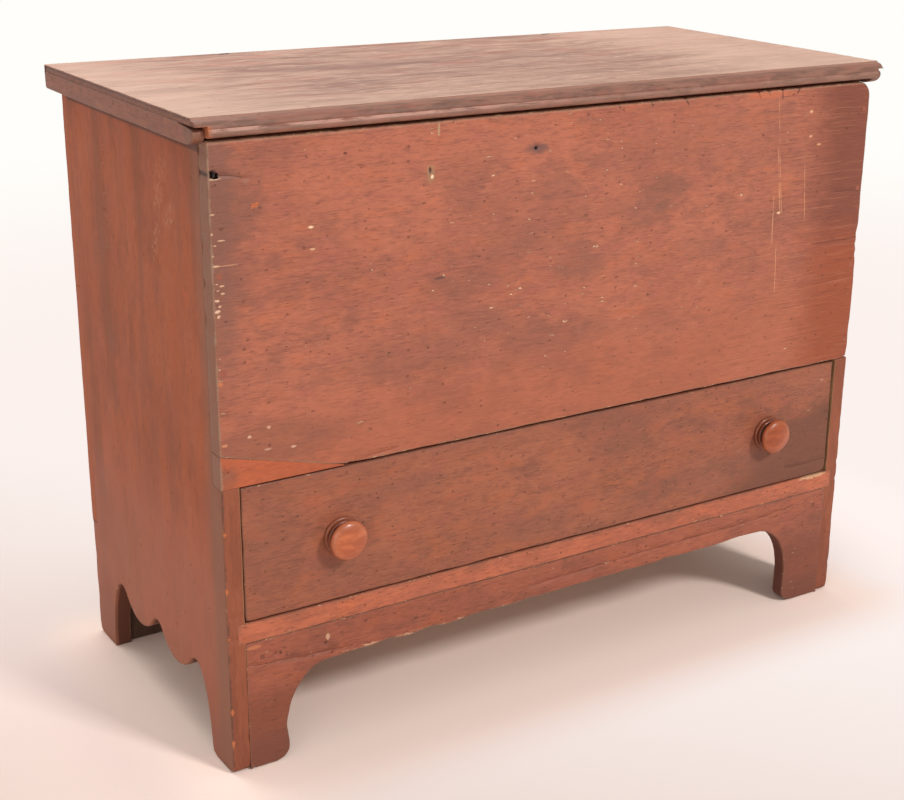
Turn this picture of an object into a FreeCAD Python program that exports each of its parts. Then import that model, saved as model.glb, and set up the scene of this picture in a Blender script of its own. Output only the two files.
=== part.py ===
import FreeCAD, Part
import math
import os

os.makedirs("parts", exist_ok=True)

# A blanket chest of nailed pine boards: a deep well under a hinged lid, and one
# long drawer below it. Millimetres, +Z up. The origin is on the floor, under the
# middle of the whole object. The drawer and its knobs face -Y.

# ---- Case -------------------------------------------------------------------
case_width = 965.0
case_depth = 445.0
case_height = 761.0            # floor to the top edge of the back boards
front_drop = 4.0               # the front board stops this far below the back
side_thickness = 22.0
front_thickness = 22.0
back_thickness = 19.0
housing_depth = 10.0           # how far the rail and the well's bottom enter the sides

# ---- Drawer opening, from the floor up --------------------------------------
rail_bottom = 168.0
rail_height = 26.0
rail_depth = 75.0
opening_height = 171.0
well_bottom_thickness = 19.0
well_bottom_step = 2.0         # lower edge of the front board to the well's bottom
front_corner_radius = 22.0     # worn round, upper right corner of the front board
patch_height = 40.0            # wedge let into the front board's lower left corner
patch_length = 155.0
patch_tip = 1.0

# ---- Back -------------------------------------------------------------------
back_bottom = 168.0
back_joint = 500.0             # where the two back boards meet
back_foot_setback = 3.0        # the back feet stand in from the back boards
back_skirt_thickness = 19.0

# ---- Scalloped sides --------------------------------------------------------
scallop_half_span = 161.0
scallop_height = 108.0
scallop_corner = 39.0          # width of the quarter ellipse beside each foot
lobe_drop = 30.0               # how far the two lobes hang below the notches
notch_radius = 21.0

# ---- Skirts -----------------------------------------------------------------
skirt_thickness = 20.0
front_foot_left = 75.0         # widths of the feet, with the side's edge
front_foot_right = 92.0
arch_height_left = 119.0
arch_height_right = 125.0
back_foot = 90.0
back_arch_height = 120.0
bracket_width = 58.0
bracket_rise = 71.0
block_width = 34.0             # corner blocks behind the front skirt
block_depth = 26.0
block_floor_gap = 15.0
back_block_width = 62.0        # the larger blocks before the back skirt, down to the floor
back_block_depth = 34.0
back_block_floor_gap = 1.0
back_block_top_gap = 8.0       # below the runners

# ---- Drawer -----------------------------------------------------------------
runner_width = 22.0
runner_height = 20.0
drawer_gap_left = 1.2
drawer_gap_right = 2.8
drawer_gap_below = 1.0
drawer_gap_above = 2.0
drawer_gap_behind = 2.0
drawer_recess = 1.5
running_clearance = 0.3
drawer_front_thickness = 22.0
drawer_side_thickness = 15.0
drawer_side_height = 150.0
drawer_back_thickness = 15.0
drawer_bottom_thickness = 10.0
drawer_bottom_lift = 9.0
groove_depth = 6.0
tail_count = 3
tail_length = 15.0
tail_width = 34.0
tail_flare = 3.0               # each flank of a tail leans out this much

# ---- Knobs ------------------------------------------------------------------
knob_reach = 27.0              # in front of the case
knob_radius = 24.5
knob_height = 277.0
knob_left_inset = 150.0        # from the left outer face
knob_right_inset = 144.0       # from the right outer face
knob_tenon_radius = 10.0
knob_tenon_clearance = 0.1
knob_flange_radius = 24.0
knob_flange = 4.5
knob_fillet = 1.2
knob_bead_radius = 21.5
knob_bead = 4.3
knob_neck_radius = 17.0
knob_rim = 3.0
knob_shoulder = 4.5
knob_dome = 4.0

# ---- Lid --------------------------------------------------------------------
lid_thickness = 21.0
lid_side_overhang = 15.5
lid_front_overhang = 12.0
lid_back_overhang = 11.0
lid_bevel_width = 13.0
lid_bevel_drop = 11.0
lid_bevel_setback = 2.0        # lower edge of the bevel, behind the bead's nose
lid_quirk = 1.0
batten_width = 14.0
batten_height = 21.5
batten_tongue = 8.5            # lid left over each batten
batten_nose = 17.0             # upward curve at a batten's front end
batten_back_radius = 5.0

# ---- Wire hinges ------------------------------------------------------------
hinge_left_inset = 224.0
hinge_right_inset = 224.0
hinge_standoff = 5.0           # pivot behind the back boards
hinge_drop = 6.0               # pivot below the top of the back boards
wire_radius = 1.3
eye_radius = 3.0
eye_leg_spread = 1.4
staple_half_width = 3.4
clinch_length = 7.5
clinch_sink = 0.9              # the clinched ends are hammered into the wood
leg_clearance = 0.2            # holes are bored this much wider than the wire

# ---- Cut nails --------------------------------------------------------------
nail_head = 6.0
nail_head_height = 1.2
nail_shank = 3.0
nail_tip = 1.4
case_nail_length = 45.0
short_nail_length = 36.0
drawer_nail_length = 32.0
batten_nail_length = 34.0

# ---- Worked out from the driving dimensions ---------------------------------
left = -case_width / 2
right = case_width / 2
front = -(case_depth + lid_back_overhang - knob_reach) / 2
back = front + case_depth
inner_left = left + side_thickness
inner_right = right - side_thickness
inner_front = front + front_thickness
inner_back = back - back_thickness
front_top = case_height - front_drop
rail_top = rail_bottom + rail_height
opening_top = rail_top + opening_height
well_bottom_low = opening_top + well_bottom_step
well_bottom_top = well_bottom_low + well_bottom_thickness
back_foot_face = back - back_foot_setback
back_skirt_face = back_foot_face - back_skirt_thickness
runner_start = front + rail_depth
runner_low = rail_top - runner_height
lid_top = case_height + lid_thickness
lid_front = front - lid_front_overhang
lid_back = back + lid_back_overhang
lid_left = left - lid_side_overhang
lid_right = right + lid_side_overhang
tongue_low = lid_top - batten_tongue
pivot_y = back + hinge_standoff
pivot_z = case_height - hinge_drop
leg_hole = wire_radius + leg_clearance
staple_inside = inner_back + clinch_sink
eye_upper = lid_top - clinch_sink
drawer_left = inner_left + drawer_gap_left
drawer_right = inner_right - drawer_gap_right
drawer_face = front + drawer_recess
drawer_front_back = drawer_face + drawer_front_thickness
drawer_end = back_skirt_face - drawer_gap_behind
drawer_side_low = rail_top + running_clearance
drawer_side_top = drawer_side_low + drawer_side_height
drawer_bottom_low = drawer_side_low + drawer_bottom_lift
drawer_bottom_top = drawer_bottom_low + drawer_bottom_thickness


def point(x, y, z):
    return FreeCAD.Vector(x, y, z)


def box(x0, x1, y0, y1, z0, z1):
    """A straight board between two corners."""
    return Part.makeBox(x1 - x0, y1 - y0, z1 - z0, point(x0, y0, z0))


def spread(first, last, count):
    """Evenly spaced places, both ends included."""
    step = (last - first) / (count - 1)
    return [first + step * i for i in range(count)]


class Outline:
    """A flat outline drawn step by step; place turns its two numbers into a point."""

    def __init__(self, place, start):
        self.place = place
        self.start = start
        self.here = start
        self.edges = []

    def line(self, *ends):
        for end in ends:
            self.edges.append(Part.makeLine(self.place(*self.here), self.place(*end)))
            self.here = end
        return self

    def arc(self, through, end):
        curve = Part.Arc(self.place(*self.here), self.place(*through), self.place(*end))
        self.edges.append(curve.toShape())
        self.here = end
        return self

    def quarter(self, corner, end):
        """Quarter of an ellipse that touches both legs of its corner."""
        curve = Part.BezierCurve()
        curve.setPoles([self.place(*self.here), self.place(*corner), self.place(*end)])
        curve.setWeight(2, math.sqrt(0.5))
        self.edges.append(curve.toShape())
        self.here = end
        return self

    def face(self):
        self.line(self.start)
        return Part.Face(Part.Wire(self.edges))

    def along_x(self, x0, x1):
        face = self.face()
        face.translate(point(x0, 0, 0))
        return face.extrude(point(x1 - x0, 0, 0))

    def along_y(self, y0, y1):
        face = self.face()
        face.translate(point(0, y0, 0))
        return face.extrude(point(0, y1 - y0, 0))


def in_yz(y, z):
    return point(0, y, z)


def in_xz(x, z):
    return point(x, 0, z)


def square(half, z):
    corners = [point(-half, -half, z), point(half, -half, z), point(half, half, z), point(-half, half, z)]
    return Part.makePolygon(corners + corners[:1])


def nail(x, y, z, direction, length):
    """A cut nail driven along direction, its square head flush with (x, y, z)."""
    half_head = nail_head / 2
    head = box(-half_head, half_head, -half_head, half_head, 0, nail_head_height)
    shank = Part.makeLoft([square(nail_shank / 2, nail_head_height), square(nail_tip / 2, length)], True, True)
    whole = head.fuse(shank).removeSplitter()
    turn = FreeCAD.Rotation(point(0, 0, 1), direction)
    whole.Placement = FreeCAD.Placement(point(x, y, z), turn)
    return whole


def rod(corners):
    """Hinge wire along straight runs, bent round a small arc in each corner."""
    bend = leg_hole
    edges = []
    here = corners[0]
    for i in range(1, len(corners) - 1):
        inward = (corners[i - 1] - corners[i]).normalize()
        onward = (corners[i + 1] - corners[i]).normalize()
        half_turn = inward.getAngle(onward) / 2
        run_in = corners[i] + inward * (bend / math.tan(half_turn))
        run_out = corners[i] + onward * (bend / math.tan(half_turn))
        middle = (inward + onward).normalize()
        deepest = corners[i] + middle * (bend / math.sin(half_turn) - bend)
        edges.append(Part.makeLine(here, run_in))
        edges.append(Part.Arc(run_in, deepest, run_out).toShape())
        here = run_out
    edges.append(Part.makeLine(here, corners[-1]))
    section = Part.Wire(Part.makeCircle(wire_radius, corners[0], corners[1] - corners[0]))
    return Part.Wire(edges).makePipeShell([section], True, True)


# ---- Case boards ------------------------------------------------------------

def side_board(outer, inner):
    """One end of the case, with its scalloped lower edge, notches and housings."""
    middle = front + case_depth / 2
    pitch = (scallop_half_span - scallop_corner) / 2
    both_radii = (pitch ** 2 + lobe_drop ** 2) / (2 * lobe_drop)
    lobe_radius = both_radii - notch_radius
    notch_centre = scallop_height - notch_radius
    meet_u = notch_radius * pitch / both_radii
    meet_z = notch_centre + notch_radius * (both_radii - lobe_drop) / both_radii
    half_angle = math.atan2(meet_u, meet_z - notch_centre) / 2
    part_u = notch_radius * math.sin(half_angle)
    part_z = notch_centre + notch_radius * math.cos(half_angle)
    lobe_low = notch_centre + both_radii - lobe_drop - lobe_radius
    hollow = middle + 2 * pitch
    lobe = middle + pitch

    shape = Outline(in_yz, (front, 0))
    shape.line((front, opening_top), (inner_front, opening_top), (inner_front, front_top))
    shape.line((inner_back, case_height), (inner_back, back_bottom), (back_foot_face, back_bottom))
    shape.line((back_foot_face, 0), (middle + scallop_half_span, 0))
    shape.quarter((middle + scallop_half_span, scallop_height), (hollow, scallop_height))
    shape.arc((hollow - part_u, part_z), (hollow - meet_u, meet_z))
    shape.arc((lobe, lobe_low), (middle + meet_u, meet_z))
    shape.arc((middle, scallop_height), (middle - meet_u, meet_z))
    shape.arc((2 * middle - lobe, lobe_low), (2 * middle - hollow + meet_u, meet_z))
    shape.arc((2 * middle - hollow + part_u, part_z), (2 * middle - hollow, scallop_height))
    shape.quarter((middle - scallop_half_span, scallop_height), (middle - scallop_half_span, 0))
    return shape.along_x(min(outer, inner), max(outer, inner))


def front_board():
    """The wide board over the drawer, its upper right corner worn round."""
    shape = Outline(in_xz, (left, opening_top))
    shape.line((left, front_top), (right - front_corner_radius, front_top))
    shape.quarter((right, front_top), (right, front_top - front_corner_radius))
    shape.line((right, opening_top))
    return shape.along_y(front, inner_front)


def front_board_patch():
    """A wedge that makes good the broken lower left corner of the front board."""
    shape = Outline(in_xz, (left, opening_top))
    shape.line((left, opening_top + patch_height), (left + patch_length, opening_top + patch_tip))
    shape.line((left + patch_length, opening_top))
    return shape.along_y(front, inner_front)


def skirt(x_feet, heights, top, y0, y1):
    """A board between the sides, sawn out to an arch with rounded upper corners."""
    foot_left, foot_right = x_feet
    height_left, height_right = heights
    shape = Outline(in_xz, (inner_left, 0))
    shape.line((inner_left, top), (inner_right, top), (inner_right, 0), (foot_right, 0))
    shape.line((foot_right, height_right - bracket_rise))
    shape.quarter((foot_right, height_right), (foot_right - bracket_width, height_right))
    shape.line((foot_left + bracket_width, height_left))
    shape.quarter((foot_left, height_left), (foot_left, height_left - bracket_rise))
    shape.line((foot_left, 0))
    return shape.along_y(y0, y1)


def corner_block(name, width, y0, y1, low, top):
    """A block in the corner of a skirt and the left or the right side."""
    if name == "left":
        return box(inner_left, inner_left + width, y0, y1, low, top)
    return box(inner_right - width, inner_right, y0, y1, low, top)


# ---- Drawer pieces ----------------------------------------------------------

def drawer_side(x0, x1):
    """A drawer side with dovetails at its front end, wider at their tips."""
    board = box(x0, x1, drawer_front_back, drawer_end, drawer_side_low, drawer_side_top)
    pitch = drawer_side_height / tail_count
    for i in range(tail_count):
        middle = drawer_side_low + pitch * (i + 0.5)
        root = tail_width / 2 - tail_flare
        tip = tail_width / 2
        tail = Outline(in_yz, (drawer_front_back, middle - root))
        tail.line((drawer_front_back - tail_length, middle - tip))
        tail.line((drawer_front_back - tail_length, middle + tip), (drawer_front_back, middle + root))
        board = board.fuse(tail.along_x(x0, x1))
    return board.removeSplitter()


def knob(x, tenon_radius):
    """A turned knob: tenon, flange, bead, neck and a broad, slightly domed face."""
    length = knob_reach + drawer_recess
    rim_front = length - knob_dome
    rim_edge = rim_front - knob_shoulder
    rim_back = rim_edge - knob_rim
    bead_start = knob_flange + knob_fillet
    bead_end = bead_start + knob_bead
    groove_radius = knob_neck_radius + knob_fillet
    face_radius = knob_radius - knob_shoulder
    dome_radius = (face_radius ** 2 + knob_dome ** 2) / (2 * knob_dome)
    half_angle = math.asin(face_radius / dome_radius) / 2
    dome_middle = (length - dome_radius * (1 - math.cos(half_angle)), dome_radius * math.sin(half_angle))

    def place(reach, radius):
        return point(x, drawer_face - reach, knob_height + radius)

    shape = Outline(place, (-drawer_front_thickness, 0))
    shape.line((-drawer_front_thickness, tenon_radius), (0, tenon_radius), (0, knob_flange_radius))
    shape.line((knob_flange / 2, knob_flange_radius))
    shape.quarter((knob_flange, knob_flange_radius), (knob_flange, knob_flange_radius - knob_flange / 2))
    shape.line((knob_flange, groove_radius), (bead_start, groove_radius))
    shape.arc(((bead_start + bead_end) / 2, knob_bead_radius), (bead_end, groove_radius))
    shape.line((bead_end, knob_neck_radius))
    shape.quarter((rim_back, knob_neck_radius), (rim_back, knob_radius))
    shape.line((rim_edge, knob_radius))
    shape.quarter((rim_front, knob_radius), (rim_front, face_radius))
    shape.arc(dome_middle, (length, 0))
    axis_point = point(x, drawer_face, knob_height)
    return shape.face().revolve(axis_point, point(0, 1, 0), 360)


# ---- Lid pieces -------------------------------------------------------------

def lid_board():
    """The lid: bevel, quirk and bead along the front, a rabbet under each end."""
    bevel_low = lid_top - lid_bevel_drop
    bead_top = bevel_low - lid_quirk
    bead_radius = (bead_top - case_height) / 2
    bead_centre = lid_front + bead_radius
    bevel_edge = lid_front + lid_bevel_setback
    shape = Outline(in_yz, (lid_back, case_height))
    shape.line((lid_back, lid_top), (bevel_edge + lid_bevel_width, lid_top), (bevel_edge, bevel_low))
    shape.line((bead_centre, bevel_low), (bead_centre, bead_top))
    shape.arc((lid_front, case_height + bead_radius), (bead_centre, case_height))
    board = shape.along_x(lid_left, lid_right)
    for x0, x1 in ((lid_left, lid_left + batten_width), (lid_right - batten_width, lid_right)):
        board = board.cut(box(x0, x1, lid_front, lid_back, case_height, tongue_low))
    return board


def lid_batten(x0, x1):
    """A batten under one end of the lid, its front end curved up."""
    low = tongue_low - batten_height
    nose_top = low + batten_nose
    shape = Outline(in_yz, (lid_back, tongue_low))
    shape.line((lid_front + lid_bevel_setback, tongue_low))
    shape.quarter((lid_front, tongue_low), (lid_front, nose_top))
    shape.quarter((lid_front, low), (lid_front + batten_nose, low))
    shape.line((lid_back - batten_back_radius, low))
    shape.quarter((lid_back, low), (lid_back, low + batten_back_radius))
    return shape.along_x(x0, x1)


# ---- Wire hinges ------------------------------------------------------------

def hinge_staple(x):
    """The case's half: a loop whose far side is the pivot, its ends clinched inside."""
    left_leg = x - staple_half_width
    right_leg = x + staple_half_width
    corners = [
        point(left_leg - clinch_length, staple_inside, pivot_z),
        point(left_leg, staple_inside, pivot_z),
        point(left_leg, pivot_y, pivot_z),
        point(right_leg, pivot_y, pivot_z),
        point(right_leg, staple_inside, pivot_z),
        point(right_leg + clinch_length, staple_inside, pivot_z),
    ]
    return rod(corners)


def staple_holes(x):
    """Two holes through the back board, and the grooves for the clinched ends."""
    low = pivot_z - leg_hole
    high = pivot_z + leg_hole
    cuts = []
    for side in (-1, 1):
        leg = x + side * staple_half_width
        tip = leg + side * (clinch_length + leg_clearance)
        near, far = sorted((leg - side * leg_hole, tip))
        cuts.append(box(leg - leg_hole, leg + leg_hole, inner_back, back, low, high))
        cuts.append(box(near, far, inner_back, staple_inside + leg_hole, low, high))
    return cuts


def hinge_eye(x):
    """The lid's half: a ring round the pivot, two legs up, clinched on the lid."""
    eye = Part.makeTorus(eye_radius, wire_radius, point(x, pivot_y, pivot_z), point(1, 0, 0))
    for side in (-1, 1):
        y = pivot_y + side * eye_leg_spread
        corners = [
            point(x, y, pivot_z + eye_radius),
            point(x, y, eye_upper),
            point(x + side * clinch_length, y, eye_upper),
        ]
        eye = eye.fuse(rod(corners))
    return eye


def eye_holes(x):
    """One hole through the lid for both legs, and the grooves for their ends."""
    reach = eye_leg_spread + leg_hole
    cuts = [box(x - leg_hole, x + leg_hole, pivot_y - reach, pivot_y + reach, case_height, lid_top)]
    for side in (-1, 1):
        y = pivot_y + side * eye_leg_spread
        near, far = sorted((x - side * leg_hole, x + side * (clinch_length + leg_clearance)))
        cuts.append(box(near, far, y - leg_hole, y + leg_hole, eye_upper - leg_hole, lid_top))
    return cuts


# ---- Nails ------------------------------------------------------------------

into_left = point(1, 0, 0)
into_right = point(-1, 0, 0)
into_front = point(0, 1, 0)
into_back = point(0, -1, 0)
upward = point(0, 0, 1)
edge_nail_inset = 0.4 * side_thickness


def front_board_nails():
    """Down both ends of the front board, and one through the patch."""
    heights = spread(opening_top + 1.3 * front_thickness, front_top - 1.7 * front_thickness, 4)
    ends = (left + edge_nail_inset, right - edge_nail_inset)
    nails = [nail(x, front, z, into_front, case_nail_length) for x in ends for z in heights]
    patch_nail_z = (well_bottom_low + well_bottom_top) / 2
    nails.append(nail(left + 0.38 * patch_length, front, patch_nail_z, into_front, case_nail_length))
    return nails


def back_board_nails():
    """Down both ends of the two back boards."""
    lower = spread(back_bottom + 1.6 * side_thickness, back_joint - 2.2 * side_thickness, 3)
    upper = spread(back_joint + 1.4 * side_thickness, case_height - 2 * side_thickness, 3)
    ends = (left + edge_nail_inset, right - edge_nail_inset)
    return [nail(x, back, z, into_back, case_nail_length) for x in ends for z in lower + upper]


def well_bottom_nails():
    """Through the lower back board into the well's bottom."""
    z = (well_bottom_low + well_bottom_top) / 2
    places = spread(inner_left + 4 * side_thickness, inner_right - 4 * side_thickness, 5)
    return [nail(x, back, z, into_back, case_nail_length) for x in places]


def skirt_nails(face, direction):
    """Two through each end of a skirt into its corner blocks."""
    nails = []
    for x in (inner_left + 0.6 * block_width, inner_right - 0.6 * block_width):
        for z in (0.45 * rail_bottom, 0.87 * rail_bottom):
            nails.append(nail(x, face, z, direction, short_nail_length))
    return nails


def runner_nails():
    """Through each drawer runner into its side board."""
    z = rail_top - runner_height / 2
    places = spread(runner_start + 2 * runner_width, back_skirt_face - 2 * runner_width, 3)
    nails = []
    for y in places:
        nails.append(nail(inner_left + runner_width, y, z, into_right, short_nail_length))
        nails.append(nail(inner_right - runner_width, y, z, into_left, short_nail_length))
    return nails


def drawer_nails():
    """Up through the drawer's bottom, and through its sides, into its back."""
    y = drawer_end - drawer_back_thickness / 2
    inset = 6 * drawer_side_thickness
    nails = []
    for x in spread(drawer_left + inset, drawer_right - inset, 4):
        nails.append(nail(x, y, drawer_bottom_low, upward, drawer_nail_length))
    for z in spread(drawer_bottom_top + drawer_back_thickness, drawer_side_top - drawer_back_thickness, 3):
        nails.append(nail(drawer_left, y, z, into_left, drawer_nail_length))
        nails.append(nail(drawer_right, y, z, into_right, drawer_nail_length))
    return nails


def batten_nails():
    """Through each batten into the end of the lid."""
    z = (case_height + tongue_low) / 2
    nails = []
    for y in spread(lid_front + 2 * batten_width, lid_back - 2 * batten_width, 5):
        nails.append(nail(lid_left, y, z, into_left, batten_nail_length))
        nails.append(nail(lid_right, y, z, into_right, batten_nail_length))
    return nails


def less(board, *others):
    """A board with the holes and housings that its neighbours need."""
    for other in others:
        board = board.cut(other)
    return board


# ---- Assembly ---------------------------------------------------------------

def case_pieces():
    front_nails = Part.makeCompound(front_board_nails())
    back_nails = Part.makeCompound(back_board_nails())
    well_nails = Part.makeCompound(well_bottom_nails())
    front_skirt_nails = Part.makeCompound(skirt_nails(front, into_front))
    back_skirt_nails = Part.makeCompound(skirt_nails(back_foot_face, into_back))
    rails_nails = Part.makeCompound(runner_nails())
    hinges = {"left": left + hinge_left_inset, "right": right - hinge_right_inset}

    housed_left = inner_left - housing_depth
    housed_right = inner_right + housing_depth
    rail = box(housed_left, housed_right, front, runner_start, rail_bottom, rail_top)
    well = box(housed_left, housed_right, inner_front, inner_back, well_bottom_low, well_bottom_top)
    patch = front_board_patch()
    lower = box(left, right, inner_back, back, back_bottom, back_joint)
    upper = box(left, right, inner_back, back, back_joint, case_height)
    for x in hinges.values():
        upper = less(upper, *staple_holes(x))
    front_arch = skirt(
        (left + front_foot_left, right - front_foot_right),
        (arch_height_left, arch_height_right), rail_bottom, front, front + skirt_thickness)
    back_arch = skirt(
        (left + back_foot, right - back_foot),
        (back_arch_height, back_arch_height), back_bottom, back_skirt_face, back_foot_face)

    pieces = {
        "side_board_left": less(side_board(left, inner_left), rail, well, front_nails, back_nails, rails_nails),
        "side_board_right": less(side_board(right, inner_right), rail, well, front_nails, back_nails, rails_nails),
        "front_board": less(front_board(), patch, front_nails),
        "front_board_patch": less(patch, front_nails),
        "front_board_nails": front_nails,
        "back_board_lower": less(lower, back_nails, well_nails),
        "back_board_upper": less(upper, back_nails),
        "back_board_nails": back_nails,
        "well_bottom": less(well, front_nails, well_nails),
        "well_bottom_nails": well_nails,
        "drawer_rail": rail,
        "front_skirt": less(front_arch, front_skirt_nails),
        "front_skirt_nails": front_skirt_nails,
        "back_skirt": less(back_arch, back_skirt_nails),
        "back_skirt_nails": back_skirt_nails,
        "runner_nails": rails_nails,
    }
    runner_places = {
        "left": (inner_left, inner_left + runner_width),
        "right": (inner_right - runner_width, inner_right),
    }
    for name, (runner_x0, runner_x1) in runner_places.items():
        front_block = corner_block(
            name, block_width, front + skirt_thickness, front + skirt_thickness + block_depth,
            block_floor_gap, rail_bottom)
        back_block = corner_block(
            name, back_block_width, back_skirt_face - back_block_depth, back_skirt_face,
            back_block_floor_gap, runner_low - back_block_top_gap)
        runner = box(runner_x0, runner_x1, runner_start, back_skirt_face, runner_low, rail_top)
        pieces["corner_block_front_" + name] = less(front_block, front_skirt_nails)
        pieces["corner_block_back_" + name] = less(back_block, back_skirt_nails)
        pieces["drawer_runner_" + name] = less(runner, rails_nails)
        pieces["hinge_staple_" + name] = hinge_staple(hinges[name])
    return pieces


def drawer_pieces():
    nails = Part.makeCompound(drawer_nails())
    bottom = box(
        drawer_left + drawer_side_thickness - groove_depth,
        drawer_right - drawer_side_thickness + groove_depth,
        drawer_front_back - groove_depth, drawer_end, drawer_bottom_low, drawer_bottom_top)
    side_left = drawer_side(drawer_left, drawer_left + drawer_side_thickness)
    side_right = drawer_side(drawer_right - drawer_side_thickness, drawer_right)
    back_board = box(
        drawer_left + drawer_side_thickness, drawer_right - drawer_side_thickness,
        drawer_end - drawer_back_thickness, drawer_end, drawer_bottom_top, drawer_side_top)
    front_panel = box(
        drawer_left, drawer_right, drawer_face, drawer_front_back,
        rail_top + drawer_gap_below, opening_top - drawer_gap_above)
    knobs = {"left": left + knob_left_inset, "right": right - knob_right_inset}
    for x in knobs.values():
        front_panel = front_panel.cut(knob(x, knob_tenon_radius + knob_tenon_clearance))
    pieces = {
        "drawer_front": less(front_panel, side_left, side_right, bottom),
        "drawer_side_left": less(side_left, bottom, nails),
        "drawer_side_right": less(side_right, bottom, nails),
        "drawer_back": less(back_board, nails),
        "drawer_bottom": less(bottom, nails),
        "drawer_nails": nails,
    }
    for name, x in knobs.items():
        pieces["knob_" + name] = knob(x, knob_tenon_radius)
    return pieces


def lid_pieces():
    nails = Part.makeCompound(batten_nails())
    hinges = {"left": left + hinge_left_inset, "right": right - hinge_right_inset}
    board = less(lid_board(), nails)
    for x in hinges.values():
        board = less(board, *eye_holes(x))
    pieces = {
        "lid_board": board,
        "lid_batten_left": less(lid_batten(lid_left, lid_left + batten_width), nails),
        "lid_batten_right": less(lid_batten(lid_right - batten_width, lid_right), nails),
        "lid_batten_nails": nails,
    }
    for name, x in hinges.items():
        pieces["hinge_eye_" + name] = hinge_eye(x)
    return pieces


for group in (case_pieces(), drawer_pieces(), lid_pieces()):
    for node, shape in group.items():
        shape.exportStep("parts/" + node + ".step")
        print(node, len(shape.Solids), round(shape.Volume), shape.isValid())
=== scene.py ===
import bpy
import math
import numpy as np
from mathutils import Matrix, Vector
from mathutils.geometry import delaunay_2d_cdt


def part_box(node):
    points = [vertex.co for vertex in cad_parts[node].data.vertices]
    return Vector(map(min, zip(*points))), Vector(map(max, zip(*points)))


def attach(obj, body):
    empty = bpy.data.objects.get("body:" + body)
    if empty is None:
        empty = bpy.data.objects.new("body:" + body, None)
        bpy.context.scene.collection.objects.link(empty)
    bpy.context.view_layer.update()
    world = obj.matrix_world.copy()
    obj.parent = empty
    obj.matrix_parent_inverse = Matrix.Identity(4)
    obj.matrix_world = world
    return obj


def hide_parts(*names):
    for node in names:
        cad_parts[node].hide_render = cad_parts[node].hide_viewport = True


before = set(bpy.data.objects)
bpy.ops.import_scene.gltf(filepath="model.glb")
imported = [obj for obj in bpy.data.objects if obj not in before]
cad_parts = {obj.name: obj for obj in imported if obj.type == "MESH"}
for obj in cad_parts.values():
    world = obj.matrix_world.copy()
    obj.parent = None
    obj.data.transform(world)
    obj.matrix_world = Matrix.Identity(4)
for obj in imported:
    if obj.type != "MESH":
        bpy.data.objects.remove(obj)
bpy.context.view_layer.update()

# Lengths in this script are millimetres in the frame of the CAD model; Blender gets metres.
METRE = 0.001


def low(node):
    """Lowest corner of a node, in millimetres."""
    return np.array(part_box(node)[0]) / METRE


def high(node):
    """Highest corner of a node, in millimetres."""
    return np.array(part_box(node)[1]) / METRE


LEFT = low("side_board_left")[0]
RIGHT = high("side_board_right")[0]
FRONT = low("side_board_left")[1]
BACK = high("back_board_upper")[1]
BOARD = high("side_board_left")[0] - LEFT
SIDE_TOP = high("side_board_left")[2]
FRONT_TOP = high("front_board")[2]
OPENING_TOP = low("front_board")[2]
PATCH_RIGHT = high("front_board_patch")[0]
PATCH_TOP = high("front_board_patch")[2]
RAIL_LOW = low("drawer_rail")[2]
RAIL_TOP = high("drawer_rail")[2]
FOOT_BACK = high("back_skirt")[1]
BACK_BOARD_LOW = low("back_board_lower")[2]
BACK_INNER = low("back_board_upper")[1]
BATTEN_LOW = low("lid_batten_left")[2]
BATTEN_TOP = high("lid_batten_left")[2]
LID_LOW = low("lid_board")
LID_HIGH = high("lid_board")
KNOB_Z = (low("knob_left")[2] + high("knob_left")[2]) / 2
KNOB_FRONT = low("knob_left")[1]

FRONT_NAIL = (LEFT + 4.5, 721)
SPENT_NAIL = (-66, 713.5)
LID_BEVEL = (13, 11)
LID_BEVEL_SETBACK = 2
QUIRK = (1.2, 0.9)
BEVEL_BACK = LID_LOW[1] + LID_BEVEL_SETBACK + LID_BEVEL[0]
FOOT_LEFT = LEFT + 75
FOOT_RIGHT = RIGHT - 92
ARCH_LEFT = 119
ARCH_RIGHT = 125


# ---- Camera -----------------------------------------------------------------

IMAGE_WIDTH = 904
SENSOR_WIDTH = 36
FOCAL_PIXELS = 1625.7
PRINCIPAL_X = 512
CAMERA_PLACE = (-1154.5, -1782.7, 1065.5)
CAMERA_YAW = math.radians(34.078)
CAMERA_PITCH = math.radians(-19.274)
CAMERA_ROLL = math.radians(1.061)


def make_camera():
    """A camera that looks along the yaw and pitch and is turned by the roll."""
    ahead = Vector((
        math.sin(CAMERA_YAW) * math.cos(CAMERA_PITCH),
        math.cos(CAMERA_YAW) * math.cos(CAMERA_PITCH),
        math.sin(CAMERA_PITCH)))
    level = Vector((math.cos(CAMERA_YAW), -math.sin(CAMERA_YAW), 0))
    above = level.cross(ahead)
    across = math.cos(CAMERA_ROLL) * level + math.sin(CAMERA_ROLL) * above
    upright = math.cos(CAMERA_ROLL) * above - math.sin(CAMERA_ROLL) * level
    data = bpy.data.cameras.new("camera")
    data.sensor_fit = "HORIZONTAL"
    data.sensor_width = SENSOR_WIDTH
    data.lens = FOCAL_PIXELS * SENSOR_WIDTH / IMAGE_WIDTH
    data.shift_x = (IMAGE_WIDTH / 2 - PRINCIPAL_X) / IMAGE_WIDTH
    camera = bpy.data.objects.new("camera", data)
    turn = Matrix((across, upright, -ahead)).transposed()
    camera.matrix_world = Matrix.Translation(Vector(CAMERA_PLACE) * METRE) @ turn.to_4x4()
    bpy.context.scene.collection.objects.link(camera)
    bpy.context.scene.camera = camera


make_camera()


# ---- Numbers that wander ----------------------------------------------------

LATTICE = 64


def ease(t):
    """A smooth step from 0 to 1."""
    return t * t * (3 - 2 * t)


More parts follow.
